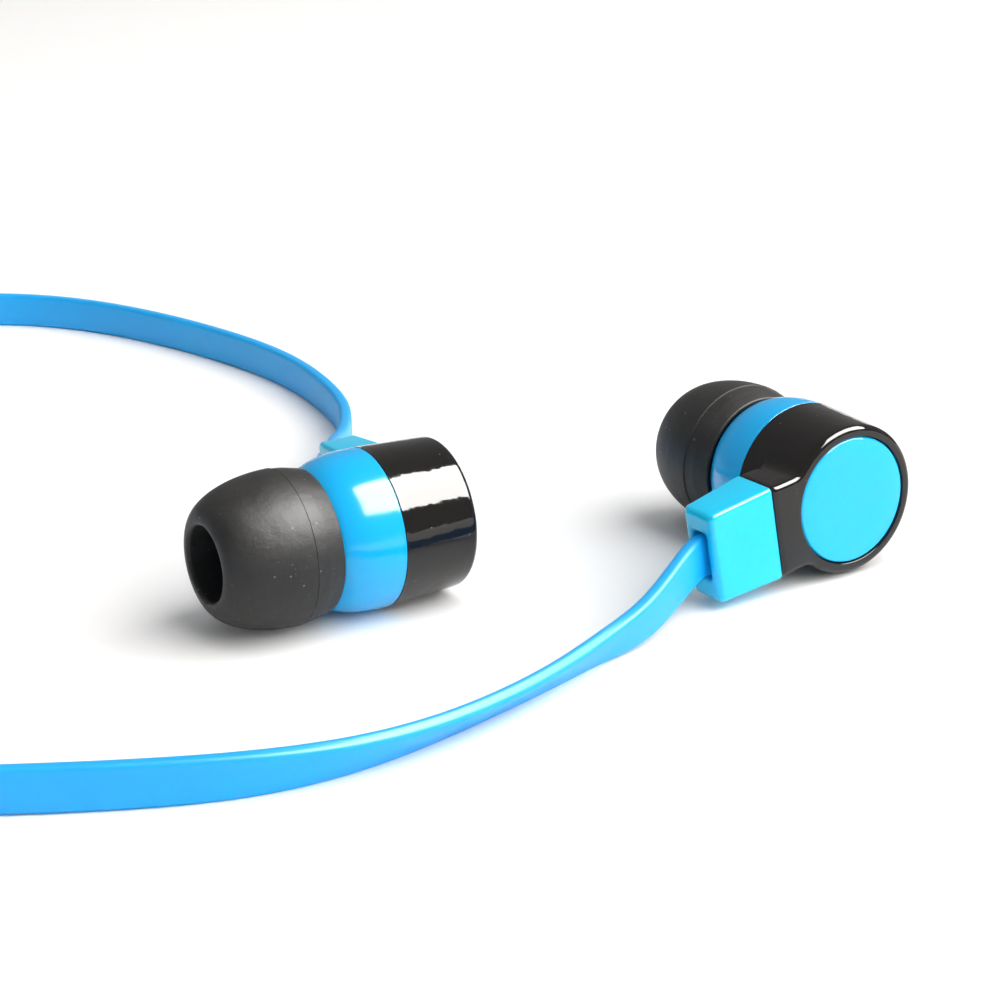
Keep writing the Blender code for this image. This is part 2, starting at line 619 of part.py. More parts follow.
def branch_cables(left_place, right_place):
    """Both branches, from the crimp in each bud to the splitter on the coil."""
    outer_end, inner_end, _, along = splitter_ends()
    last_angle = SPLITTER_ANGLE - 22
    plans = (("left_branch_cable", left_place, LEFT_ROUTE, (OUTER_TURN, 118), outer_end),
             ("right_branch_cable", right_place, RIGHT_ROUTE, (OUTER_TURN - TURN_PITCH, 60), inner_end))
    for name, place, route, (radius, start), end in plans:
        points = [from_bud(place, RELIEF_END + ahead) for ahead in STRAIGHT_EXIT] + list(route)
        points += turn_points(radius, radius, start, last_angle, 20)
        points += [(*(end - along * back), 0.0) for back in (3.0, 0.0)]
        flat_cable(name, [from_bud(place, CABLE_START)] + spline_through(points, CABLE_STEP))


def splitter():
    """Blue moulded block where the two branches join."""
    middle, heading = splitter_frame()
    length, width, height = SPLITTER_SIZE
    shape = (width / 2, (-height / 2, height / 2))
    data = tapered_block("y_splitter", (-length / 2, *shape), (length / 2, *shape))
    item = add_object("y_splitter", data, None, blue_rubber())
    item.location = (middle.x * MM, middle.y * MM, height / 2 * MM)
    item.rotation_euler = Euler((0, 0, heading))
    bevel(item, 0.7, 3)


def main_cable():
    """The lead-in turn, the coil as one turned ring, and the tail to the plug."""
    _, _, start, along = splitter_ends()
    lane = RING_OUTER + LEAD_GAP + CABLE_THICKNESS / 2
    first_radius, first_angle, lane_angle = LEAD_IN
    points = [(*(start + along * ahead), 0.0) for ahead in (0.0, 3.0)]
    points += turn_points(first_radius, lane, first_angle, lane_angle)[:-1]
    points += turn_points(lane, lane, lane_angle, 360 + LEAD_END, 20)
    flat_cable("main_cable_lead", spline_through(points, CABLE_STEP))
    ring = [(RING_INNER, 0.0), (RING_OUTER, 0.0), (RING_OUTER, CABLE_WIDTH), (RING_INNER, CABLE_WIDTH)]
    coil = add_object("main_cable_coil", turned("main_cable_coil", ring, 48), None, blue_rubber())
    coil.location = (COIL_CENTRE[0] * MM, COIL_CENTRE[1] * MM, 0.0)


# ---------------------------------------------------------------- plug

def plug_matrix():
    """The plug's frame: local Z along the pin, local X back along the cable."""
    along_pin = Matrix(((0, 0, 1), (1, 0, 0), (0, 1, 0))).to_4x4()
    turn = Matrix.Rotation(radians(PLUG_AZIMUTH), 4, 'Z')
    centre = Matrix.Translation((COIL_CENTRE[0] * MM, COIL_CENTRE[1] * MM, PLUG_AXIS_HEIGHT * MM))
    return centre @ turn @ Matrix.Translation((PLUG_HEAD[0] * MM, PLUG_HEAD[1] * MM, 0.0)) @ along_pin


def plug_body(frame):
    """Moulded right-angle grip with a neck for the cable and a hole for the pin's rod."""
    half = PLUG_BODY_HALF
    grip = tapered_block("plug_grip", (PLUG_BODY_REACHES[0], half, (-half, half)),
                         (PLUG_BODY_REACHES[1], half, (-half, half)))
    body = add_object("plug_body", grip, frame, blue_rubber())
    bevel(body, 1.3, 3)
    (near_height, near_depth), (far_height, far_depth) = PLUG_NECK_HALVES
    neck = add_object("plug_neck", tapered_block("plug_neck", (PLUG_BODY_REACHES[1] - 2, near_height,
                                                               (-near_depth, near_depth)),
                                                 (PLUG_NECK_END, far_height, (-far_depth, far_depth))), frame)
    channel_shape = (CHANNEL_HALF_HEIGHT, (-CHANNEL_HALF_DEPTH, CHANNEL_HALF_DEPTH))
    channel = add_object("plug_channel", tapered_block("plug_channel", (PLUG_CABLE_START - 0.6, *channel_shape),
                                                       (PLUG_NECK_END + 1, *channel_shape)), frame)
    hole = [(0.0, ROD_START - 0.3), (PIN_BORE_RADIUS, ROD_START - 0.3), (PIN_BORE_RADIUS, half + 1), (0.0, half + 1)]
    rod_hole = add_object("plug_rod_hole", turned("plug_rod_hole", hole, PIN_SEGMENTS), frame)
    boolean(body, neck, 'UNION')
    boolean(body, channel, 'DIFFERENCE')
    boolean(body, rod_hole, 'DIFFERENCE')


def plug_pin(frame):
    """The pin's rows of contacts on one rod: sleeve with collar, insulators, ring and tip."""
    marks = [COLLAR_DEPTHS[1]]
    for length in PIN_SECTIONS:
        marks.append(marks[-1] + length)
    sleeve = [(PIN_BORE_RADIUS, COLLAR_DEPTHS[0]), (COLLAR_RADIUS, COLLAR_DEPTHS[0]),
              (COLLAR_RADIUS, COLLAR_DEPTHS[1]), (PIN_RADIUS, COLLAR_DEPTHS[1]), (PIN_RADIUS, marks[1]),
              (PIN_BORE_RADIUS, marks[1])]
    pieces = [("plug_sleeve", sleeve, gold())]
    rows = (("plug_insulator_rear", 1, INSULATOR_RADIUS, black_plastic()), ("plug_ring", 2, PIN_RADIUS, gold()),
            ("plug_insulator_front", 3, INSULATOR_RADIUS, black_plastic()))
    for name, row, radius, finish in rows:
        low, high = marks[row] + PIN_GAP, marks[row + 1]
        pieces.append((name, [(PIN_BORE_RADIUS, low), (radius, low), (radius, high), (PIN_BORE_RADIUS, high)],
                       finish))
    start, end = marks[4] + PIN_GAP, marks[5]
    tip = [(0.0, ROD_START), (PIN_ROD_RADIUS, ROD_START), (PIN_ROD_RADIUS, start), (PIN_RADIUS, start),
           (PIN_RADIUS - 0.05, start + 0.3), (TIP_GROOVE_RADIUS, start + 0.9), (PIN_RADIUS - 0.05, start + 1.6),
           (PIN_RADIUS - 0.15, start + 2.1), (0.5, end - 0.1), (0.0, end)]
    pieces.append(("plug_tip", tip, gold()))
    for name, outline, finish in pieces:
        add_object(name, turned(name, outline, PIN_SEGMENTS), frame, finish)


def tail(frame):
    """The cable's last stretch, from the innermost turn to the plug's neck."""
    turn = Matrix.Translation((COIL_CENTRE[0], COIL_CENTRE[1], 0)) @ Matrix.Rotation(radians(PLUG_AZIMUTH), 4, 'Z')
    points = [on_turn(TAIL_TURN, TAIL_START + PLUG_AZIMUTH), on_turn(TAIL_TURN, TAIL_START + PLUG_AZIMUTH + 12)]
    points += [(*(turn @ Vector(point)), 0.0) for point in TAIL_ROUTE]
    for reach in (PLUG_NECK_END + 0.5, PLUG_CABLE_START):
        points.append((*(frame.matrix_world @ Vector((reach * MM, 0, 0)) / MM), 0.0))
    flat_cable("main_cable_tail", spline_through(points, CABLE_STEP))


def plug():
    """The right-angle 3.5 mm plug, lying inside the coil."""
    frame = frame_empty("plug_frame", plug_matrix())
    plug_body(frame)
    plug_pin(frame)
    tail(frame)


def main():
    clear_scene()
    left_place = bud("left", LEFT_REAR, LEFT_NOSE_AZIMUTH, LEFT_ROLL)
    right_place = bud("right", RIGHT_REAR, RIGHT_NOSE_AZIMUTH, RIGHT_ROLL)
    branch_cables(left_place, right_place)
    splitter()
    main_cable()
    plug()


main()
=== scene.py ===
"""Wired in-ear earphones with a flat cable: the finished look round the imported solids.

Every visible piece is built here in millimetres in its sub-assembly's own frame, then moved into the row
frame in metres. The sub-assemblies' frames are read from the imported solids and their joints.
"""

import json
import logging
from dataclasses import dataclass
from enum import Enum
from math import atan2, cos, degrees, pi, radians, sin, sqrt
from typing import Any, Callable, Iterable, Sequence

import bmesh
import bpy
import numpy as np
from mathutils import Matrix, Vector


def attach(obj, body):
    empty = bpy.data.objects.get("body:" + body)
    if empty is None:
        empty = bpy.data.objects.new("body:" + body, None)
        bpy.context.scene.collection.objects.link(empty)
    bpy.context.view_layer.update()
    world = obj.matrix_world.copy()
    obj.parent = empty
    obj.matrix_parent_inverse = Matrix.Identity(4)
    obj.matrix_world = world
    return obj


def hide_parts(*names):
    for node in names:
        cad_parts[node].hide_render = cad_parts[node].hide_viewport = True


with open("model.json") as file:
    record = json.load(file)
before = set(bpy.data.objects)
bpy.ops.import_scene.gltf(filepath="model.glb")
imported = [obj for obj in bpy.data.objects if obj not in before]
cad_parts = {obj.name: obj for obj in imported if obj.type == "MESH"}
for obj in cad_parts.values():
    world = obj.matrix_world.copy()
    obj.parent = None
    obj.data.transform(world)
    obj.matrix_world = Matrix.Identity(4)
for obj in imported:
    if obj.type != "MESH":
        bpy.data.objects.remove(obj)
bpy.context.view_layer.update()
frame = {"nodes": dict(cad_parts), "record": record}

MM = 0.001
ROOT = "earphones"
SHARP_ANGLE = 32.0
Colour = tuple[float, float, float]
Outline = list[tuple[float, float]]
# A section holds reach, half height, depth from, depth to and corner radius.
Section = tuple[float, float, float, float, float]
# A route point holds x, y, the height of the middle and the lean in degrees.
RoutePoint = tuple[float, float, float, float]
log = logging.getLogger("earphones")


class Side(Enum):
    """The two earbuds."""

    LEFT = "left"
    RIGHT = "right"


# ---------------------------------------------------------------- shader building

class Signal:
    """A shader socket that can be used in plain arithmetic."""

    def __init__(self, sheet: "ShaderSheet", socket: bpy.types.NodeSocket) -> None:
        """Wrap an output socket of a sheet."""
        self.sheet = sheet
        self.socket = socket

    def __add__(self, other: "Signal | float") -> "Signal":
        """Sum."""
        return self.sheet.maths("ADD", self, other)

    __radd__ = __add__

    def __sub__(self, other: "Signal | float") -> "Signal":
        """Difference."""
        return self.sheet.maths("SUBTRACT", self, other)

    def __rsub__(self, other: float) -> "Signal":
        """Difference with a number in front."""
        return self.sheet.maths("SUBTRACT", other, self)

    def __mul__(self, other: "Signal | float") -> "Signal":
        """Product."""
        return self.sheet.maths("MULTIPLY", self, other)

    __rmul__ = __mul__

    def __lt__(self, other: float) -> "Signal":
        """1 where this is below the number, else 0."""
        return self.sheet.maths("LESS_THAN", self, other)


class ShaderSheet:
    """The node tree of one material."""

    def __init__(self, name: str) -> None:
        """Start a material with one Principled shader."""
        self.material = bpy.data.materials.new(name)
        self.material.use_nodes = True
        self.tree = self.material.node_tree
        self.shader = self.tree.nodes["Principled BSDF"]

    def feed(self, socket: bpy.types.NodeSocket, value: Any) -> None:
        """Link a signal to a socket, or set the socket's own value."""
        if isinstance(value, Signal):
            self.tree.links.new(value.socket, socket)
        elif isinstance(value, tuple) and len(value) == 3 and socket.type == "RGBA":
            socket.default_value = (*value, 1.0)
        else:
            socket.default_value = value

    def node(self, kind: str, settings: dict[str, Any] | None = None, sockets: dict[Any, Any] | None = None,
             output: str | int = 0) -> Signal:
        """Add a node.

        Args:
            kind: the node's type.
            settings: properties set first; "stops" holds a ramp's (place, colour) pairs.
            sockets: values or signals for its inputs, by name or number.
            output: the output socket that is returned.

        Returns:
            The chosen output as a signal.
        """
        item = self.tree.nodes.new(kind)
        for key, value in (settings or {}).items():
            if key == "stops":
                self._set_stops(item.color_ramp, value)
            else:
                setattr(item, key, value)
        for key, value in (sockets or {}).items():
            self.feed(item.inputs[key], value)
        return Signal(self, item.outputs[output])

    @staticmethod
    def _set_stops(ramp: bpy.types.ColorRamp, stops: Sequence[tuple[float, Colour]]) -> None:
        """Give a ramp its stops."""
        while len(ramp.elements) < len(stops):
            ramp.elements.new(0.5)
        for element, (place, colour) in zip(ramp.elements, stops):
            element.position = place
            element.color = (*colour, 1.0)

    def maths(self, operation: str, *values: "Signal | float") -> Signal:
        """Add a Math node."""
        return self.node("ShaderNodeMath", {"operation": operation}, dict(enumerate(values)))

    def mix(self, factor: Signal, first: Any, second: Any) -> Signal:
        """Blend two colours."""
        return self.node("ShaderNodeMix", {"data_type": "RGBA"}, {0: factor, 6: first, 7: second}, output=2)

    def place(self) -> Signal:
        """The object's own coordinates, in metres."""
        return self.node("ShaderNodeTexCoord", output="Object")

    def stretched(self, source: Signal, scale: tuple[float, float, float]) -> Signal:
        """Coordinates scaled along each axis."""
        return self.node("ShaderNodeMapping", None, {"Vector": source, "Scale": scale})

    def noise(self, scale: float, detail: float = 2.0, source: Signal | None = None) -> Signal:
        """Smooth noise from 0 to 1."""
        return self.node("ShaderNodeTexNoise", None,
                         {"Vector": source or self.place(), "Scale": scale, "Detail": detail})

    def specks(self, scale: float, size: float, share: float) -> Signal:
        """Small scattered spots, 1 inside a spot.

        Args:
            scale: cells per metre.
            size: a spot's radius as a share of its cell.
            share: the share of cells that hold one.

        Returns:
            The mask.
        """
        settings = {"feature": "F1"}
        sockets = {"Vector": self.place(), "Scale": scale}
        near = self.node("ShaderNodeTexVoronoi", settings, sockets, output="Distance")
        cell = self.node("ShaderNodeTexVoronoi", settings, sockets, output="Color")
        lot = self.node("ShaderNodeSeparateColor", None, {0: cell})
        spot = self.node("ShaderNodeMapRange", {"interpolation_type": "SMOOTHSTEP"},
                         {0: near, 1: size, 2: size * 0.35, 3: 0.0, 4: 1.0})
        return spot * (lot < share)

    def bump(self, height: Signal, depth: float, under: Signal | None = None) -> Signal:
        """A normal from a height signal whose full range is depth metres."""
        sockets: dict[str, Any] = {"Height": height, "Distance": depth, "Strength": 1.0}
        if under:
            sockets["Normal"] = under
        return self.node("ShaderNodeBump", None, sockets)

    def output(self, **sockets: Any) -> bpy.types.Material:
        """Feed the Principled shader; underscores stand for the blanks in socket names."""
        for key, value in sockets.items():
            self.feed(self.shader.inputs[key.replace("_", " ")], value)
        return self.material


# ---------------------------------------------------------------- finishes

@dataclass(frozen=True)
class Finish:
    """A surface finish; each kind says how it dresses a sheet."""

    name: str
    colour: Colour

    def material(self) -> bpy.types.Material:
        """The finish's material, made once."""
        found = bpy.data.materials.get("finish_" + self.name)
        return found or self.dress(ShaderSheet("finish_" + self.name))

    def dress(self, sheet: ShaderSheet) -> bpy.types.Material:
        """Build the nodes on a new sheet."""
        raise NotImplementedError


@dataclass(frozen=True)
class MouldedGloss(Finish):
    """Glossy moulded plastic: faint flow variation, orange peel and a few dust flecks."""

    tint: Colour = (0.0, 0.0, 0.0)
    roughness: float = 0.08
    peel: float = 1.2e-6
    dust: Colour = (0.3, 0.3, 0.3)
    dust_share: float = 0.12

    def dress(self, sheet: ShaderSheet) -> bpy.types.Material:
        """Build the nodes."""
        flow = sheet.noise(140.0, 3.0)
        colour = sheet.mix(flow, self.colour, self.tint)
        flecks = sheet.specks(1400.0, 0.1, self.dust_share)
        colour = sheet.mix(flecks * 0.5, colour, self.dust)
        rough = self.roughness + 0.05 * sheet.noise(900.0, 4.0) + 0.3 * flecks
        peel = sheet.bump(sheet.noise(700.0, 2.0), self.peel)
        return sheet.output(Base_Color=colour, Roughness=rough, Normal=peel, IOR=1.5)


@dataclass(frozen=True)
class Silicone(Finish):
    """Matte dark silicone with lint, dust and a slightly mottled skin."""

    dust: Colour = (0.3, 0.29, 0.28)

    def dress(self, sheet: ShaderSheet) -> bpy.types.Material:
        """Build the nodes."""
        mottle = sheet.noise(420.0, 5.0)
        lighter = tuple(2.1 * part for part in self.colour)
        colour = sheet.mix(mottle, self.colour, lighter)
        fine = sheet.specks(2600.0, 0.14, 0.4)
        coarse = sheet.specks(900.0, 0.1, 0.85)
        colour = sheet.mix(sheet.maths("MAXIMUM", 0.3 * fine, 0.42 * coarse), colour, self.dust)
        rough = 0.42 + 0.16 * mottle
        skin = sheet.bump(sheet.noise(5200.0, 3.0), 8.0e-6, sheet.bump(mottle, 1.2e-4))
        return sheet.output(Base_Color=colour, Roughness=rough, Normal=skin, IOR=1.42)


@dataclass(frozen=True)
class CableJacket(Finish):
    """Satin elastomer with faint draw lines along the cable."""

    tint: Colour = (0.0, 0.0, 0.0)
    roughness: float = 0.34

    def dress(self, sheet: ShaderSheet) -> bpy.types.Material:
        """Build the nodes; U runs along the cable in metres and V round its section."""
        strip = sheet.node("ShaderNodeUVMap", {"uv_map": "UVMap"})
        lines = sheet.noise(1.0, 3.0, sheet.stretched(strip, (25.0, 90.0, 1.0)))
        cloud = sheet.noise(260.0, 3.0)
        colour = sheet.mix(0.35 * cloud + 0.3 * lines, self.colour, self.tint)
        rough = self.roughness + 0.12 * cloud
        normal = sheet.bump(sheet.noise(4200.0, 2.0), 2.5e-6, sheet.bump(lines, 5.0e-6))
        return sheet.output(Base_Color=colour, Roughness=rough, Normal=normal, IOR=1.48)


@dataclass(frozen=True)
class Elastomer(Finish):
    """The same elastomer as a moulded block: smoother, with a faint texture."""

    tint: Colour = (0.0, 0.0, 0.0)
    roughness: float = 0.2

    def dress(self, sheet: ShaderSheet) -> bpy.types.Material:
        """Build the nodes."""
        cloud = sheet.noise(180.0, 3.0)
        colour = sheet.mix(cloud, self.colour, self.tint)
        grit = sheet.noise(2600.0, 3.0)
        rough = self.roughness + 0.1 * grit
        return sheet.output(Base_Color=colour, Roughness=rough, IOR=1.5,
                            Normal=sheet.bump(grit, 1.5e-6))


@dataclass(frozen=True)
class Metal(Finish):
    """Turned or stamped metal with fine tool marks and slight tarnish."""

    roughness: float = 0.22
    tarnish: Colour = (0.3, 0.3, 0.3)

    def dress(self, sheet: ShaderSheet) -> bpy.types.Material:
        """Build the nodes."""
        stain = sheet.noise(500.0, 5.0)
        colour = sheet.mix(0.3 * stain, self.colour, self.tarnish)
        marks = sheet.noise(6000.0, 2.0)
        return sheet.output(Base_Color=colour, Roughness=self.roughness + 0.14 * stain, Metallic=1.0,
                            Normal=sheet.bump(marks, 1.0e-6))


@dataclass(frozen=True)
class MattePlastic(Finish):
    """Plain moulded plastic or film inside the housing."""

    roughness: float = 0.5

    def dress(self, sheet: ShaderSheet) -> bpy.types.Material:
        """Build the nodes."""
        grain = sheet.noise(3000.0, 3.0)
        lighter = tuple(min(1.0, 1.3 * part + 0.01) for part in self.colour)
        return sheet.output(Base_Color=sheet.mix(grain, self.colour, lighter),
                            Roughness=self.roughness + 0.1 * grain, Normal=sheet.bump(grain, 2.0e-6))


@dataclass(frozen=True)
class PaleFloor(Finish):
    """The plain white table."""

    def dress(self, sheet: ShaderSheet) -> bpy.types.Material:
        """Build the nodes."""
        return sheet.output(Base_Color=self.colour, Roughness=0.9, Specular_IOR_Level=0.0)


BLACK_GLOSS = MouldedGloss("black_gloss", (0.0062, 0.0052, 0.0050), (0.0085, 0.0070, 0.0066), 0.045,
                           peel=3.0e-5)
BLUE_GLOSS = MouldedGloss("blue_gloss", (0.003, 0.38, 0.80), (0.005, 0.43, 0.86), 0.12, dust=(0.6, 0.8, 0.9),
                          dust_share=0.02)
BLUE_INLAY = MouldedGloss("blue_inlay", (0.004, 0.43, 0.80), (0.006, 0.46, 0.84), 0.045, dust=(0.6, 0.8, 0.9),
                          dust_share=0.02)
BLUE_BLOCK = Elastomer("blue_block", (0.003, 0.51, 0.80), (0.005, 0.55, 0.86), 0.14)
BLUE_CABLE = CableJacket("blue_cable", (0.003, 0.36, 0.82), (0.005, 0.41, 0.88))
DARK_SILICONE = Silicone("dark_silicone", (0.0112, 0.011, 0.0108))
STEEL = Metal("steel", (0.56, 0.56, 0.57))
DARK_MESH = Metal("dark_mesh", (0.12, 0.12, 0.12), 0.35, (0.05, 0.05, 0.05))
GOLD = Metal("gold", (0.9, 0.68, 0.3), 0.14, (0.6, 0.4, 0.15))
COPPER = Metal("copper", (0.78, 0.36, 0.2), 0.25, (0.4, 0.16, 0.08))
FILM = MattePlastic("film", (0.55, 0.57, 0.6), 0.25)
BLACK_PLASTIC = MattePlastic("black_plastic", (0.02, 0.02, 0.021))
SOLDER_MASK = MattePlastic("solder_mask", (0.02, 0.16, 0.07), 0.35)
FLOOR = PaleFloor("pale_floor", (0.93, 0.93, 0.93))


# ---------------------------------------------------------------- shapes

def add_object(name: str, data: bpy.types.ID) -> bpy.types.Object:
    """Link a new object to the scene."""
    item = bpy.data.objects.new(name, data)
    bpy.context.scene.collection.objects.link(item)
    return item


def evaluated_mesh(item: bpy.types.Object) -> bpy.types.Mesh:
    """A new mesh of an object with its modifiers applied."""
    return bpy.data.meshes.new_from_object(item.evaluated_get(bpy.context.evaluated_depsgraph_get()))


def arc(centre: tuple[float, float], radius: float, start: float, end: float, steps: int) -> Outline:
    """Points of an arc, with angles in degrees."""
    return [(centre[0] + radius * cos(radians(start + (end - start) * k / steps)),
             centre[1] + radius * sin(radians(start + (end - start) * k / steps))) for k in range(steps + 1)]


def rounded(corners: Sequence[tuple[float, float, float]], closed: bool = True, steps: int = 6) -> Outline:
    """Round the corners of an outline.

    Args:
        corners: (x, y, rounding radius) of each corner; radius 0 keeps it sharp.
        closed: whether the last corner joins the first.
        steps: the points along each rounding.

    Returns:
        The outline's points.
    """
    points: Outline = []
    count = len(corners)
    for i, (x, y, radius) in enumerate(corners):
        if radius <= 0 or (not closed and i in (0, count - 1)):
            points.append((x, y))
            continue
        here = Vector((x, y))
        before = (Vector(corners[i - 1][:2]) - here)
        after = (Vector(corners[(i + 1) % count][:2]) - here)
        half = before.angle(after) / 2
        reach = min(radius / max(1e-6, np.tan(half)), 0.49 * before.length, 0.49 * after.length)
        start, end = here + before.normalized() * reach, here + after.normalized() * reach
        for k in range(steps + 1):
            t = k / steps
            bend = (1 - t) ** 2 * start + 2 * t * (1 - t) * here + t * t * end
            circle = _on_fillet(here, before.normalized(), after.normalized(), half, reach, t)
            points.append(tuple(circle if circle is not None else bend))
    return points


def _on_fillet(corner: Vector, before: Vector, after: Vector, half: float, reach: float,
               t: float) -> Vector | None:
    """A point of the circle that touches both sides of a corner.

    Args:
        corner: the corner.
        before: the direction to the corner before it, of length 1.
        after: the direction to the corner after it, of length 1.
        half: half the angle between them.
        reach: how far from the corner the circle touches.
        t: how far along the arc the point is, from 0 to 1.

    Returns:
        The point, or None where the two sides run straight on.
    """
    middle = before + after
    if middle.length < 1e-6:
        return None
    centre = corner + middle.normalized() * (reach / cos(half))
    start, end = corner + before * reach - centre, corner + after * reach - centre
    angle = start.angle_signed(end)
    turn = Matrix.Rotation(-angle * t, 2)
    return centre + turn @ start


def grid_mesh(name: str, rings: Sequence[np.ndarray], closed_way: bool,
              ends: tuple[bool, bool] = (False, False),
              uv: Callable[[int, int], tuple[float, float]] | None = None) -> bpy.types.Mesh:
    """A skin over rings with equal numbers of points.

    Args:
        name: the mesh's name.
        rings: arrays of points in mm, each ring closed in itself.
        closed_way: whether the last ring joins the first.
        ends: whether the first and last rings are closed by a fan to their middle.
        uv: gives U and V for a ring's number and a point's number.

    Returns:
        The mesh, in mm.
    """
    count, around = len(rings), len(rings[0])
    points = [tuple(point) for ring in rings for point in ring]
    faces = []
    for k in range(count if closed_way else count - 1):
        low, high = k * around, ((k + 1) % count) * around
        for i in range(around):
            j = (i + 1) % around
            faces.append((low + i, low + j, high + j, high + i))
    for at_end, ring in ((ends[0], 0), (ends[1], count - 1)):
        if at_end:
            points.append(tuple(np.mean(rings[ring], axis=0)))
            middle, base = len(points) - 1, ring * around
            faces += [(base + i, base + (i + 1) % around, middle) for i in range(around)]
    data = bpy.data.meshes.new(name)
    data.from_pydata(points, [], faces)
    if uv:
        layer = data.uv_layers.new(name="UVMap")
        for face in data.polygons:
            first = face.index % around
            for corner in face.loop_indices:
                vertex = data.loops[corner].vertex_index
                ring, place = min(divmod(vertex, around), (count - 1, around - 1))
                place = around if place == 0 and first == around - 1 else place
                layer.data[corner].uv = uv(ring, place)
    outward(data)
    return data


def outward(data: bpy.types.Mesh, merge: float = 1e-5) -> None:
    """Merge doubles, drop empty faces and point the rest outwards."""
    bm = bmesh.new()
    bm.from_mesh(data)
    bmesh.ops.remove_doubles(bm, verts=bm.verts[:], dist=merge)
    bmesh.ops.dissolve_degenerate(bm, edges=bm.edges[:], dist=merge)
    bmesh.ops.recalc_face_normals(bm, faces=bm.faces[:])
    bm.to_mesh(data)
    bm.free()


def turned(name: str, outline: Outline, segments: int = 128) -> bpy.types.Mesh:
    """Turn an outline about local Z.

    Args:
        name: the mesh's name.
        outline: (radius, depth) points, which start and end on the axis or make a closed ring.
        segments: the points around.

    Returns:
        The mesh, in mm.
    """
    on_axis = outline[0][0] < 1e-6
    rings = []
    for radius, depth in outline:
        if radius < 1e-6:
            continue
        angles = np.arange(segments) * 2 * pi / segments
        columns = [radius * np.cos(angles), radius * np.sin(angles), np.full(segments, depth)]
        rings.append(np.stack(columns, axis=1))
    return grid_mesh(name, rings, not on_axis, (on_axis, on_axis))


def box_outline(half_y: float, low: float, high: float, radius: float, steps: int = 6) -> np.ndarray:
    """A rounded rectangle in (height, depth), as an array that starts on the same side each time."""
    corners = [(half_y, low, radius), (half_y, high, radius), (-half_y, high, radius), (-half_y, low, radius)]
    return np.array(rounded(corners, steps=steps))


def lofted_block(name: str, sections: Sequence[Section], closed_way: bool = False) -> bpy.types.Mesh:
    """A block lofted along local X.

    Args:
        name: the mesh's name.
        sections: the rounded rectangles it runs through.
        closed_way: whether the last section joins the first, so that the block has a slot through it.

    Returns:
        The mesh, in mm.
    """
    rings = []
    for reach, half, low, high, radius in sections:
        flat = box_outline(half, low, high, radius)
        rings.append(np.column_stack([np.full(len(flat), reach), flat]))
    return grid_mesh(name, rings, closed_way, (not closed_way, not closed_way))


class Piece:
    """A finished object: a mesh in the row frame at the origin, with its finish."""

    def __init__(self, name: str, data: bpy.types.Mesh, place: Matrix, finish: Finish,
                 sharp: float = SHARP_ANGLE) -> None:
        """Move a mesh in mm by a frame in metres and dress it."""
        data.transform(place @ Matrix.Scale(MM, 4))
        data.name = name
        data.materials.clear()
        data.materials.append(finish.material())
        data.shade_smooth()
        data.set_sharp_from_angle(angle=radians(sharp))
        self.object = add_object(name, data)

    def cut(self, other: "Piece", operation: str = "DIFFERENCE") -> None:
        """Apply a Boolean with another piece, which is used up, and mark the sharp edges again."""
        step = self.object.modifiers.new("cut", "BOOLEAN")
        step.operation = operation
        step.object = other.object
        step.solver = "EXACT"
        result = evaluated_mesh(self.object)
        self.object.modifiers.remove(step)
        finish, name = self.object.data.materials[0], self.object.data.name
        self.object.data = result
        result.name = name
        result.materials.clear()
        result.materials.append(finish)
        result.set_sharp_from_angle(angle=radians(SHARP_ANGLE))
        bpy.data.objects.remove(other.object)

    def ride(self, body: str, slot: str, *nodes: str) -> "Piece":
        """Ride on a body and stand for CAD nodes."""
        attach(self.object, body)
        if nodes:
            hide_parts(*nodes)
        log.info("%s rides on %s for %s", self.object.name, body, ", ".join(nodes) or "no node")
        return self


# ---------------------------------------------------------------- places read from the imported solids

class CadNodes:
    """Vertices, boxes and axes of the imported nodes, in mm."""

    @staticmethod
    def points(node: str) -> np.ndarray:
        """A node's distinct vertices in the row frame."""
        corners = np.array([tuple(vertex.co) for vertex in frame["nodes"][node].data.vertices]) / MM
        return np.unique(np.round(corners, 4), axis=0)

    @classmethod
    def frame_from(cls, along: Vector, rear_node: str, round_node: str, side_node: str,
                   rear_depth: float) -> Matrix:
        """A sub-assembly's frame: local Z along its axis, local X towards its cable side.

        Args:
            along: the axis in the row frame.
            rear_node: the node whose rearmost point sets the depth.
            round_node: a turned node whose middle lies on the axis.
            side_node: the node on the cable side.
            rear_depth: the local depth of that rearmost point, in mm.

        Returns:
            The frame, in metres.
        """
        along = along.normalized()
        middle = Vector(cls.points(round_node).mean(axis=0))
        side = Vector(cls.points(side_node).mean(axis=0)) - middle
        side = (side - along * side.dot(along)).normalized()
        rear = min(Vector(point).dot(along) for point in cls.points(rear_node)) - rear_depth
        origin = middle + along * (rear - middle.dot(along))
        turn = Matrix((side, along.cross(side), along)).transposed().to_4x4()
        return Matrix.Translation(origin * MM) @ turn

    @staticmethod
    def joint_axis(name: str) -> Vector:
        """A joint's axis in the row frame."""
        joints = frame["record"]["behaviour"]["joints"]
        return Vector(next(joint for joint in joints if joint["name"] == name)["axis"])


# ---------------------------------------------------------------- earbud

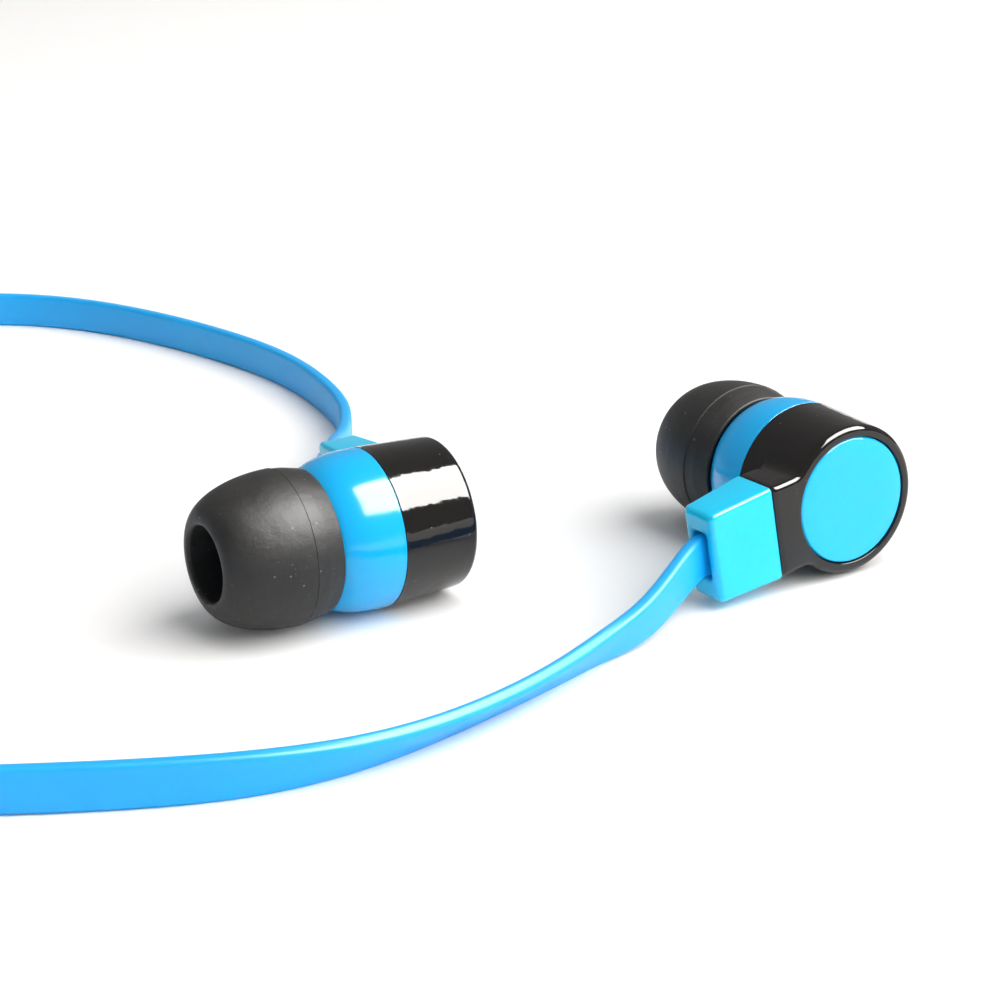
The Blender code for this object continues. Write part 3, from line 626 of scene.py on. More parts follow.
@dataclass
class Earbud:
    """One earbud: local Z runs from the flat rear face to the nose, local X to the cable side (mm)."""

    side: Side
    rear_radius: float = 5.95
    split_radius: float = 6.25
    split_depth: float = 6.4
    rim_round: float = 0.5
    recess_radius: float = 5.1
    recess_depth: float = 0.55
    socket_radius: float = 5.68
    socket_floor: float = 4.9
    hollow_radius: float = 5.25
    hollow_floor: float = 1.2
    cap_radius: float = 5.03
    cap_dome: float = 0.15
    lug_reach: float = 7.45
    lug_half: float = 3.75
    lug_depth: float = 4.25
    lug_fillet: float = 1.3
    relief_start: float = 7.53
    relief_end: float = 13.5
    slot_middle: float = 1.75
    slot_half_depth: float = 0.82
    slot_half_height: float = 1.95
    slot_corner: float = 0.4
    dome_nose: float = 12.1
    dome_power: float = 2.9
    nozzle_radius: float = 2.4
    tip_bore: float = 2.92
    tip_nose: float = 20.2
    tip_rear: float = 11.27
    tip_seam: float = 13.72
    tip_lip: float = 0.32

    def __post_init__(self) -> None:
        """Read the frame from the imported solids."""
        name = self.side.value
        self.place = CadNodes.frame_from(CadNodes.joint_axis(name + "_tip_pull"), name + "_rear_housing",
                                         name + "_end_cap", name + "_strain_relief", 0.0)
        self.tip_body = name + "_tip"
        self.coil_body = name + "_moving_coil"

    def node(self, part: str) -> str:
        """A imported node's name."""
        return f"{self.side.value}_{part}"

    def piece(self, part: str, data: bpy.types.Mesh, finish: Finish, sharp: float = SHARP_ANGLE) -> Piece:
        """A piece of this bud, named for its part."""
        return Piece(f"{self.side.value}_{part}_look", data, self.place, finish, sharp)

    # -- rear shell

    def _radius_at(self, depth: float) -> float:
        """The black shell's radius, which grows slightly to the split."""
        t = max(0.0, depth - self.rim_round) / (self.split_depth - self.rim_round)
        return self.rear_radius + (self.split_radius - self.rear_radius) * min(1.0, t)

    def _lug_outline(self, radius: float, inset: float) -> tuple[np.ndarray, np.ndarray, np.ndarray]:
        """The rear outline, circle and lug in one, drawn inwards by an inset.

        Args:
            radius: the circle's radius.
            inset: how far the outline is drawn in.

        Returns:
            The outline's points, the same points on the circle, and how much each belongs to the lug.
        """
        radius, half, reach = radius - inset, self.lug_half - inset, self.lug_reach - inset
        fillet, corner = self.lug_fillet + inset, 0.35
        centre = Vector((sqrt((radius + fillet) ** 2 - (half + fillet) ** 2), half + fillet))
        touch = atan2(centre.y, centre.x)
        upper: Outline = [(reach, (half - corner) * k / 8) for k in range(8)]
        upper += arc((reach - corner, half - corner), corner, 0, 90, 6)
        upper += [(reach - corner + (centre.x - reach + corner) * k / 8, half) for k in range(1, 8)]
        bend = arc(tuple(centre), fillet, -90, degrees(touch) - 180, 10)
        lug_count = len(upper)
        upper += bend
        weights = [1.0] * lug_count + [0.5 + 0.5 * cos(pi * k / 10) for k in range(11)]
        span = np.linspace(0.0, touch, len(upper))
        on_circle = [(radius * cos(angle), radius * sin(angle)) for angle in span]
        rest = [(radius * cos(angle), radius * sin(angle))
                for angle in np.linspace(touch, 2 * pi - touch, 124)[1:-1]]
        mirror = [(x, -y) for x, y in reversed(upper[1:])]
        mirror_circle = [(x, -y) for x, y in reversed(on_circle[1:])]
        outline = np.array(upper + rest + mirror)
        circle = np.array(on_circle + rest + mirror_circle)
        weight = np.array(weights + [0.0] * len(rest) + list(reversed(weights[1:])))
        return outline, circle, weight

    def _trued(self, points: np.ndarray, depth: np.ndarray, weight: np.ndarray) -> np.ndarray:
        """Put the points that aren't the lug's at the shell's radius for their depth."""
        radius = np.array([self._radius_at(value) for value in depth])
        scale = np.where(weight < 0.01, radius / np.linalg.norm(points, axis=1), 1.0)
        return points * scale[:, None]

    def rear_shell(self) -> Piece:
        """Black rear shell: rounded rim, cap recess, side lug and the hollow behind."""
        rings: list[np.ndarray] = []

        def level(points: np.ndarray, depth: float | np.ndarray) -> None:
            """Add a ring at a depth."""
            rings.append(np.column_stack([points, np.full(len(points), depth)]))

        _, unit, _ = self._lug_outline(self.rear_radius, 0.0)
        unit = unit / self.rear_radius
        recess, floor = self.recess_radius, self.recess_depth
        for radius, depth in rounded([(0.6, floor, 0), (recess, floor, 0.08), (recess, 0.0, 0.07),
                                      (recess + 0.14, 0.0, 0)], closed=False, steps=4):
            level(unit * radius, depth)
        for k in range(7):
            turn = pi / 2 * k / 6
            inset = self.rim_round * (1 - sin(turn))
            level(self._lug_outline(self.rear_radius, inset)[0], self.rim_round * (1 - cos(turn)))
        front_round, steps = 0.3, 6
        for depth in np.linspace(self.rim_round, self.lug_depth - front_round, 7)[1:]:
            level(self._lug_outline(self._radius_at(depth), 0.0)[0], depth)
        lug_radius = self._radius_at(self.lug_depth)
        body, circle, weight = self._lug_outline(lug_radius, 0.0)
        for k in range(1, steps + 1):
            turn = pi / 2 * k / steps
            outline = self._lug_outline(lug_radius, front_round * (1 - cos(turn)))[0]
            mixed = body + (outline - body) * weight[:, None]
            depth = self.lug_depth - front_round + front_round * sin(turn) * (0.8 + 0.2 * weight)
            level(self._trued(mixed, depth, weight), depth)
        last = rings[-1]
        for k in range(1, 7):
            slide = k / 6
            target = last[:, :2] + (circle - last[:, :2]) * slide
            depth = last[:, 2] + (self.lug_depth + 0.06 * (1 - weight) - last[:, 2]) * slide
            depth = depth + 0.05 * slide ** 4
            level(self._trued(target, depth, weight), depth)
        for depth in np.linspace(self.lug_depth + 0.25, self.split_depth - 0.1, 7):
            level(unit * self._radius_at(depth), depth)
        split, end, socket, hollow = self.split_radius, self.split_depth, self.socket_radius, self.hollow_radius
        for radius, depth in rounded([(split, end - 0.08, 0), (split, end, 0.07), (socket, end, 0.05),
                                      (socket, self.socket_floor, 0.05), (hollow, self.socket_floor, 0.05),
                                      (hollow, self.hollow_floor, 0.3), (0.6, self.hollow_floor, 0)],
                                     closed=False, steps=4):
            level(unit * radius, depth)
        shell = self.piece("rear_shell", grid_mesh("rear_shell", rings, False, (True, True)), BLACK_GLOSS)
        passage = lofted_block("passage", [(reach, 3.0, 0.8, 2.75, 0.2) for reach in (4.6, 8.6)])
        shell.cut(Piece("passage", passage, self.place, BLACK_GLOSS))
        return shell.ride(ROOT, "black_shell", self.node("rear_housing"))

    def inlay(self) -> Piece:
        """Blue inlay: nearly flat, with a soft rounded edge."""
        face = 0.04
        outline = [(0.0, face - self.cap_dome)]
        outline += [(self.cap_radius * t, face - self.cap_dome * (1 - t * t)) for t in (0.2, 0.4, 0.6, 0.78)]
        outline += rounded([(self.cap_radius * 0.8, face - 0.054, 0), (self.cap_radius, face + 0.04, 0.42),
                            (self.cap_radius, 0.5, 0.03), (4.5, 0.5, 0)], closed=False, steps=8)
        outline.append((0.0, 0.5))
        return self.piece("inlay", turned("inlay", outline, 160), BLUE_INLAY).ride(
            ROOT, "blue_shell", self.node("end_cap"))

    def relief_block(self) -> Piece:
        """Blue block that tapers to the cable, with a slot through it and two prongs."""
        length = self.relief_end - self.relief_start

        def section(reach: float, inset: float, radius: float) -> Section:
            """The block's section at a reach."""
            t = (reach - self.relief_start) / length
            half = 3.83 - 0.18 * t
            return reach, half - inset, inset, 4.22 - 0.79 * t - inset, radius

        sections = []
        back_round, end_round, mouth = 0.1, 0.5, 0.3
        for k in range(5):
            turn = pi / 2 * k / 4
            sections.append(section(self.relief_start + back_round * (1 - cos(turn)),
                                    back_round * (1 - sin(turn)), 0.34))
        for t in np.linspace(0.1, 1.0, 8):
            sections.append(section(self.relief_start + back_round + (length - 0.55) * t, 0.0, 0.34 + 0.06 * t))
        for k in range(1, 7):
            turn = pi / 2 * k / 6
            sections.append(section(self.relief_end - end_round + end_round * sin(turn),
                                    end_round * (1 - cos(turn)), 0.42))
        half, corner = self.slot_half_height, self.slot_corner
        low, high = self.slot_middle - self.slot_half_depth, self.slot_middle + self.slot_half_depth
        for k in range(5):
            turn = pi / 2 * k / 4
            flare = mouth * (1 - sin(turn))
            sections.append((self.relief_end - mouth * (1 - cos(turn)), half + flare, low - flare, high + flare,
                             corner))
        for reach in (12.5, 11.0, 9.5, self.relief_start + 0.4, self.relief_start):
            sections.append((reach, half, low, high, corner))
        data = lofted_block("relief_block", sections, closed_way=True)
        block = self.piece("relief_block", data, BLUE_BLOCK)
        for sign in (-1, 1):
            prong_sections = [(reach, 0.4, 0.95 + inset, 2.6 - inset, 0.12)
                              for reach, inset in ((5.95, 0.12), (6.07, 0.0), (7.2, 0.0), (8.2, 0.0))]
            data = lofted_block("prong", prong_sections)
            data.transform(Matrix.Translation((0, sign * 2.4, 0)))
            block.cut(Piece("prong", data, self.place, BLUE_BLOCK), "UNION")
        return block.ride(ROOT, "blue_cable", self.node("strain_relief"))

    # -- front shell, nozzle and tip

    def front_shell(self) -> Piece:
        """Blue front shell with spigot, dome, barbed nozzle and the sound passage."""
        base, length = self.split_depth, self.dome_nose - self.split_depth
        span = self.split_radius - self.nozzle_radius
        start = base + 0.04
        power = 2 / self.dome_power
        dome = [(self.nozzle_radius + span * cos(t * pi / 2) ** power, base + length * sin(t * pi / 2) ** power)
                for t in np.linspace(0.06, 0.985, 44)]
        outline = [(5.6, 5.0)] + rounded([(5.6, start, 0), (5.6, start, 0), (self.split_radius, start, 0.07),
                                          (self.split_radius, start + 0.3, 0)], closed=False, steps=4)[1:]
        outline += [point for point in dome if point[1] > start + 0.32]
        neck, nose = self.nozzle_radius, self.dome_nose
        outline += rounded([(neck, nose, 0.0), (neck, nose, 0.0), (neck, 15.7, 0.1), (2.8, 15.95, 0.12),
                            (2.72, 16.5, 0.2), (neck, 17.1, 0.12), (2.05, 17.1, 0.05), (2.05, 16.67, 0.02),
                            (1.7, 16.67, 0.05), (1.7, 11.6, 0.4), (4.3, 9.75, 0.2), (5.0, 9.75, 0.05),
                            (5.0, 5.0, 0.08)], closed=False, steps=4)[1:]
        return self.piece("front_shell", turned("front_shell", outline, 160), BLUE_GLOSS).ride(
            ROOT, "blue_shell", self.node("front_housing"))

    def ear_tip(self) -> Piece:
        """Silicone tip: skirt, moulding seam, dome, rounded lip, bore and stem."""
        bore, nose, seam, rear, lip = self.tip_bore, self.tip_nose, self.tip_seam, self.tip_rear, self.tip_lip
        peak, peak_depth = bore + lip, nose - lip
        reach = 6.03 - peak
        dome = [(peak + reach * cos(t * pi / 2), seam + 0.06 + (nose - seam - 0.06) * sin(t * pi / 2))
                for t in np.linspace(0.0, 0.975, 46)]
        skirt = rounded([(5.22, rear + 0.3, 0), (5.24, rear, 0.1), (5.54, rear, 0.13), (5.87, 12.7, 1.6),
                         (5.965, seam - 0.05, 0), (5.965, seam - 0.05, 0)], closed=False, steps=5)
        seam_step = [(6.02, seam - 0.02), (6.02, seam + 0.01), (5.94, seam + 0.045)]
        lip_arc = arc((peak, peak_depth), lip, 84, 180, 12)
        stem = rounded([(bore, peak_depth - 0.05, 0), (bore, 12.3, 0.15), (3.55, 12.3, 0.15),
                        (3.55, 17.6, 0.5), (4.2, 18.35, 0)], closed=False, steps=5)
        inside = [(3.9 + 1.62 * cos(t * pi / 2), seam + 4.7 * sin(t * pi / 2))
                  for t in np.linspace(0.86, 0.0, 16)]
        data = turned("ear_tip", skirt + seam_step + dome + lip_arc + stem + inside, 168)
        self._roughen_seam(data)
        return self.piece("ear_tip", data, DARK_SILICONE, sharp=50.0).ride(
            self.tip_body, "silicone", self.node("ear_tip"))

    def _roughen_seam(self, data: bpy.types.Mesh) -> None:
        """Lift the moulding flash unevenly along the seam and the rear edge."""
        phase = 0.0 if self.side is Side.LEFT else 1.7
        for vertex in data.vertices:
            radius = sqrt(vertex.co.x ** 2 + vertex.co.y ** 2)
            if radius < 5.4:
                continue
            angle = atan2(vertex.co.y, vertex.co.x)
            slow = sin(7 * angle + phase) * sin(19 * angle + 2 * phase) * 0.5
            wave = slow + 0.5 * sin(31 * angle + 3 * phase)
            near_seam = max(0.0, 1 - abs(vertex.co.z - self.tip_seam) / 0.12)
            near_rear = max(0.0, 1 - abs(vertex.co.z - self.tip_rear) / 0.25)
            lift = 1 + (0.028 * near_seam + 0.012 * near_rear) * wave / radius
            vertex.co.x *= lift
            vertex.co.y *= lift

    def build(self) -> None:
        """Make every piece of the bud and dress the inner solids."""
        self.rear_shell()
        self.inlay()
        self.relief_block()
        self.front_shell()
        self.ear_tip()
        NozzleMesh().build(self)
        VoiceCoil().build(self)
        inner = {"driver_frame": BLACK_PLASTIC, "driver_yoke": STEEL, "driver_magnet": STEEL,
                 "driver_plate": STEEL, "diaphragm": FILM, "terminal_board": SOLDER_MASK,
                 "cable_anchor": STEEL, "lead_wire_a": COPPER, "lead_wire_b": COPPER}
        for part, finish in inner.items():
            dress_solid(self.node(part), finish)


def dress_solid(node: str, finish: Finish) -> None:
    """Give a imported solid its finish."""
    for slot in frame["nodes"][node].material_slots:
        slot.material = finish.material()


# ---------------------------------------------------------------- repeated features, made by geometry nodes

class GeoSheet:
    """A geometry node tree with named inputs, working in mm."""

    def __init__(self, name: str, inputs: dict[str, float]) -> None:
        """Start a tree with one float input for each name."""
        self.name = name
        self.values = inputs
        self.tree = bpy.data.node_groups.new(name, "GeometryNodeTree")
        self.identifiers = {}
        for key in inputs:
            item = self.tree.interface.new_socket(key, in_out="INPUT", socket_type="NodeSocketFloat")
            self.identifiers[key] = item.identifier
        self.tree.interface.new_socket("Geometry", in_out="OUTPUT", socket_type="NodeSocketGeometry")
        self.inputs = self.tree.nodes.new("NodeGroupInput")
        self.result = self.tree.nodes.new("NodeGroupOutput")

    def given(self, key: str) -> bpy.types.NodeSocket:
        """One of the tree's inputs."""
        return self.inputs.outputs[key]

    def node(self, kind: str, settings: dict[str, Any] | None = None, sockets: dict[Any, Any] | None = None,
             output: str | int = 0) -> bpy.types.NodeSocket:
        """Add a node; a list of sockets links them all to one input."""
        item = self.tree.nodes.new(kind)
        for key, value in (settings or {}).items():
            setattr(item, key, value)
        for key, value in (sockets or {}).items():
            for single in value if isinstance(value, list) else [value]:
                if isinstance(single, bpy.types.NodeSocket):
                    self.tree.links.new(single, item.inputs[key])
                else:
                    item.inputs[key].default_value = single
        return item.outputs[output]

    def maths(self, operation: str, *values: Any) -> bpy.types.NodeSocket:
        """Add a Math node."""
        return self.node("ShaderNodeMath", {"operation": operation}, dict(enumerate(values)))

    def circle(self, radius: Any, resolution: int) -> bpy.types.NodeSocket:
        """A circle curve."""
        return self.node("GeometryNodeCurvePrimitiveCircle", None,
                         {"Resolution": resolution, "Radius": radius})

    def bake(self, geometry: bpy.types.NodeSocket, finish: Finish) -> bpy.types.Mesh:
        """End the tree in Realize Instances and Set Material, and turn its result into a mesh."""
        real = self.node("GeometryNodeRealizeInstances", None, {"Geometry": geometry})
        dressed = self.node("GeometryNodeSetMaterial", None,
                            {"Geometry": real, "Material": finish.material()})
        self.tree.links.new(dressed, self.result.inputs[0])
        item = add_object(self.name, bpy.data.meshes.new(self.name))
        step = item.modifiers.new(self.name, "NODES")
        step.node_group = self.tree
        for key, identifier in self.identifiers.items():
            step[identifier] = float(self.values[key])
        data = evaluated_mesh(item)
        bpy.data.objects.remove(item)
        return data


def joined(meshes: Iterable[bpy.types.Mesh], name: str) -> bpy.types.Mesh:
    """Several meshes as one."""
    bm = bmesh.new()
    for data in meshes:
        bm.from_mesh(data)
    bmesh.ops.recalc_face_normals(bm, faces=bm.faces[:])
    result = bpy.data.meshes.new(name)
    bm.to_mesh(result)
    bm.free()
    return result


@dataclass
class NozzleMesh:
    """Perforated disc in the nozzle's mouth (mm)."""

    radius: float = 1.92
    pitch: float = 0.4
    hole: float = 0.13
    depths: tuple[float, float] = (16.74, 16.84)

    def build(self, bud: Earbud) -> Piece:
        """Make the disc and its rim on a bud."""
        low, high = self.depths
        sheet = GeoSheet("perforated_disc", {"Radius": self.radius, "Pitch": self.pitch, "Hole": self.hole,
                                             "Thickness": high - low, "Depth": low})
        count = 2 * int(self.radius / self.pitch / 0.86) + 3
        cell = sheet.maths("DIVIDE", sheet.given("Pitch"), sqrt(3))
        column = sheet.maths("MULTIPLY", cell, 1.5 * (count - 1))
        row = sheet.maths("MULTIPLY", sheet.given("Pitch"), count - 1)
        grid = sheet.node("GeometryNodeMeshGrid", None, {"Size X": column, "Size Y": row, "Vertices X": count,
                                                         "Vertices Y": count})
        place = sheet.node("GeometryNodeInputPosition")
        across = sheet.node("ShaderNodeSeparateXYZ", None, {0: place})
        number = sheet.maths("ROUND", sheet.maths("DIVIDE", across, sheet.maths("MULTIPLY", cell, 1.5)))
        odd = sheet.maths("FLOORED_MODULO", number, 2.0)
        half_row = sheet.maths("MULTIPLY", sheet.given("Pitch"), 0.5)
        shift = sheet.node("ShaderNodeCombineXYZ", None, {"Y": sheet.maths("MULTIPLY", odd, half_row)})
        points = sheet.node("GeometryNodeSetPosition", None, {"Geometry": grid, "Offset": shift})
        outlines = sheet.node("GeometryNodeJoinGeometry", None,
                              {0: [sheet.circle(cell, 6), sheet.circle(sheet.given("Hole"), 12)]})
        tile = sheet.node("GeometryNodeFillCurve", None, {"Curve": outlines})
        tiles = sheet.node("GeometryNodeInstanceOnPoints", None, {"Points": points, "Instance": tile})
        flat = sheet.node("GeometryNodeRealizeInstances", None, {"Geometry": tiles})
        flat = sheet.node("GeometryNodeMergeByDistance", None, {"Geometry": flat, "Distance": 0.004})
        span = sheet.node("ShaderNodeVectorMath", {"operation": "LENGTH"}, {0: place}, output="Value")
        far = sheet.maths("GREATER_THAN", span, sheet.given("Radius"))
        flat = sheet.node("GeometryNodeDeleteGeometry", {"domain": "FACE"},
                          {"Geometry": flat, "Selection": far})
        top = sheet.node("GeometryNodeExtrudeMesh", None,
                         {"Mesh": flat, "Offset Scale": sheet.given("Thickness"), "Individual": False})
        under = sheet.node("GeometryNodeFlipFaces", None, {"Mesh": flat})
        both = sheet.node("GeometryNodeJoinGeometry", None, {0: [top, under]})
        solid = sheet.node("GeometryNodeMergeByDistance", None, {"Geometry": both, "Distance": 0.002})
        lift = sheet.node("ShaderNodeCombineXYZ", None, {"Z": sheet.given("Depth")})
        raised = sheet.node("GeometryNodeTransform", None, {"Geometry": solid, "Translation": lift})
        disc = sheet.bake(raised, DARK_MESH)
        rim_outline = [(1.72, low - 0.04, 0.03), (2.0, low - 0.04, 0.03), (2.0, high + 0.1, 0.05),
                       (1.72, high + 0.1, 0.05)]
        rim = turned("mesh_rim", rounded(rim_outline), 96)
        piece = bud.piece("nozzle_mesh", joined((disc, rim), "nozzle_mesh"), DARK_MESH, sharp=40.0)
        return piece.ride(ROOT, "steel", bud.node("nozzle_mesh"))


@dataclass
class VoiceCoil:
    """Voice coil: a former with its windings (mm)."""

    former: tuple[float, float] = (2.95, 3.01)
    depths: tuple[float, float] = (7.35, 9.18)
    wire: float = 0.05
    turns: int = 11

    def build(self, bud: Earbud) -> Piece:
        """Make the coil on a bud."""
        sheet = GeoSheet("coil_windings", {"Radius": self.former[1] + self.wire, "Wire": self.wire,
                                           "Start": self.depths[0] + 0.1})
        loop = sheet.node("GeometryNodeCurveToMesh", None,
                          {"Curve": sheet.circle(sheet.given("Radius"), 64),
                           "Profile Curve": sheet.circle(sheet.given("Wire"), 6)})
        start = sheet.node("ShaderNodeCombineXYZ", None, {"Z": sheet.given("Start")})
        rise = sheet.maths("MULTIPLY", sheet.given("Wire"), 2.1)
        pitch = sheet.node("ShaderNodeCombineXYZ", None, {"Z": rise})
        line = sheet.node("GeometryNodeMeshLine", None,
                          {"Count": self.turns, "Start Location": start, "Offset": pitch})
        wound = sheet.node("GeometryNodeInstanceOnPoints", None, {"Points": line, "Instance": loop})
        windings = sheet.bake(wound, COPPER)
        (inner, outer), (low, high) = self.former, self.depths
        former = turned("former", [(inner, low), (outer, low), (outer, high), (inner, high)], 96)
        piece = bud.piece("voice_coil", joined((windings, former), "voice_coil"), COPPER)
        return piece.ride(bud.coil_body, "copper", bud.node("voice_coil"))


def grip_ribs(name: str, reaches: tuple[float, float], count: int, sizes: tuple[float, float],
              taper: float, finish: Finish) -> bpy.types.Mesh:
    """Raised ribs round a moulded block, across local X.

    Args:
        name: the mesh's name.
        reaches: where the first and last rib stand along local X.
        count: how many ribs there are.
        sizes: the first rib's height and depth.
        taper: how much smaller the last one is, as a factor.
        finish: the ribs' finish.

    Returns:
        The ribs, in mm.
    """
    sheet = GeoSheet(name, {"First": reaches[0], "Pitch": (reaches[1] - reaches[0]) / (count - 1),
                            "Height": sizes[0], "Depth": sizes[1], "Thickness": 0.22,
                            "Shrink": (1 - taper) / (count - 1)})
    frame_curve = sheet.node("GeometryNodeCurvePrimitiveQuadrilateral", None,
                             {"Width": sheet.given("Depth"), "Height": sheet.given("Height")})
    soft = sheet.node("GeometryNodeFilletCurve", {"mode": "POLY"},
                      {"Curve": frame_curve, "Radius": 0.7, "Count": 8})
    upright = sheet.node("GeometryNodeTransform", None, {"Geometry": soft, "Rotation": (0.0, pi / 2, 0.0)})
    rib = sheet.node("GeometryNodeCurveToMesh", None,
                     {"Curve": upright, "Profile Curve": sheet.circle(sheet.given("Thickness"), 10)})
    start = sheet.node("ShaderNodeCombineXYZ", None, {"X": sheet.given("First")})
    offset = sheet.node("ShaderNodeCombineXYZ", None, {"X": sheet.given("Pitch")})
    line = sheet.node("GeometryNodeMeshLine", None,
                      {"Count": count, "Start Location": start, "Offset": offset})
    index = sheet.node("GeometryNodeInputIndex")
    size = sheet.maths("SUBTRACT", 1.0, sheet.maths("MULTIPLY", index, sheet.given("Shrink")))
    scale = sheet.node("ShaderNodeCombineXYZ", None, {"X": 1.0, "Y": size, "Z": size})
    ribs = sheet.node("GeometryNodeInstanceOnPoints", None,
                      {"Points": line, "Instance": rib, "Scale": scale})
    return sheet.bake(ribs, finish)


# ---------------------------------------------------------------- cables

def spline_through(points: Sequence[Sequence[float]], step: float) -> np.ndarray:
    """Even points on a natural cubic spline.

    Args:
        points: the (x, y, z, lean) points it passes through.
        step: about how far apart the returned points are.

    Returns:
        One row of x, y, z and lean for each point.
    """
    knots_at = np.array(points, dtype=float)
    gaps = np.sqrt(np.linalg.norm(np.diff(knots_at[:, :3], axis=0), axis=1))
    knots = np.concatenate(([0.0], np.cumsum(gaps)))
    count = len(knots_at)
    system = np.zeros((count, count))
    right = np.zeros_like(knots_at)
    system[0, 0] = system[-1, -1] = 1.0
    for i in range(1, count - 1):
        before, after = gaps[i - 1], gaps[i]
        system[i, i - 1:i + 2] = before, 2 * (before + after), after
        right[i] = 6 * ((knots_at[i + 1] - knots_at[i]) / after - (knots_at[i] - knots_at[i - 1]) / before)
    bends = np.linalg.solve(system, right)
    fine = np.linspace(0.0, knots[-1], 60 * count)
    section = np.clip(np.searchsorted(knots, fine, side="right") - 1, 0, count - 2)
    gap = gaps[section][:, None]
    left = knots[section + 1][:, None] - fine[:, None]
    rest = fine[:, None] - knots[section][:, None]
    curve = (bends[section] * left ** 3 + bends[section + 1] * rest ** 3) / (6 * gap)
    curve += (knots_at[section] / gap - bends[section] * gap / 6) * left
    curve += (knots_at[section + 1] / gap - bends[section + 1] * gap / 6) * rest
    travel = np.concatenate(([0.0], np.cumsum(np.linalg.norm(np.diff(curve[:, :3], axis=0), axis=1))))
    stops = np.linspace(0.0, travel[-1], max(2, round(travel[-1] / step)) + 1)
    return np.column_stack([np.interp(stops, travel, curve[:, k]) for k in range(4)])


@dataclass
class FlatCable:
    """A flat cable on its edge along a route of (x, y, z, lean) points, in mm and degrees."""

    name: str
    route: np.ndarray
    width: float = 3.4
    thickness: float = 1.1
    corner: float = 0.4

    @property
    def path(self) -> list[list[float]]:
        """The centreline in metres."""
        return (self.route[:, :3] * MM).tolist()

    @property
    def length(self) -> float:
        """The real length in metres."""
        return float(np.linalg.norm(np.diff(self.route[:, :3], axis=0), axis=1).sum() * MM)

    def build(self) -> Piece:
        """Sweep the section along the route."""
        places = self.route[:, :3]
        ahead = np.gradient(places, axis=0)
        ahead /= np.linalg.norm(ahead, axis=1)[:, None]
        up = np.array([0.0, 0.0, 1.0]) - ahead[:, 2:3] * ahead
        up /= np.linalg.norm(up, axis=1)[:, None]
        across = np.cross(ahead, up)
        lean = np.radians(self.route[:, 3])[:, None]
        up, across = up * np.cos(lean) + across * np.sin(lean), across * np.cos(lean) - up * np.sin(lean)
        section = box_outline(self.width / 2, -self.thickness / 2, self.thickness / 2, self.corner, 5)
        rings = [place + section[:, :1] * high + section[:, 1:] * wide
                 for place, high, wide in zip(places, up, across)]
        along = np.concatenate(([0.0], np.cumsum(np.linalg.norm(np.diff(places, axis=0), axis=1)))) * MM
        around = len(section)
        data = grid_mesh(self.name, rings, False, (True, True), lambda ring, i: (along[ring], i / around))
        return Piece(self.name, data, Matrix.Identity(4), BLUE_CABLE, sharp=60.0)


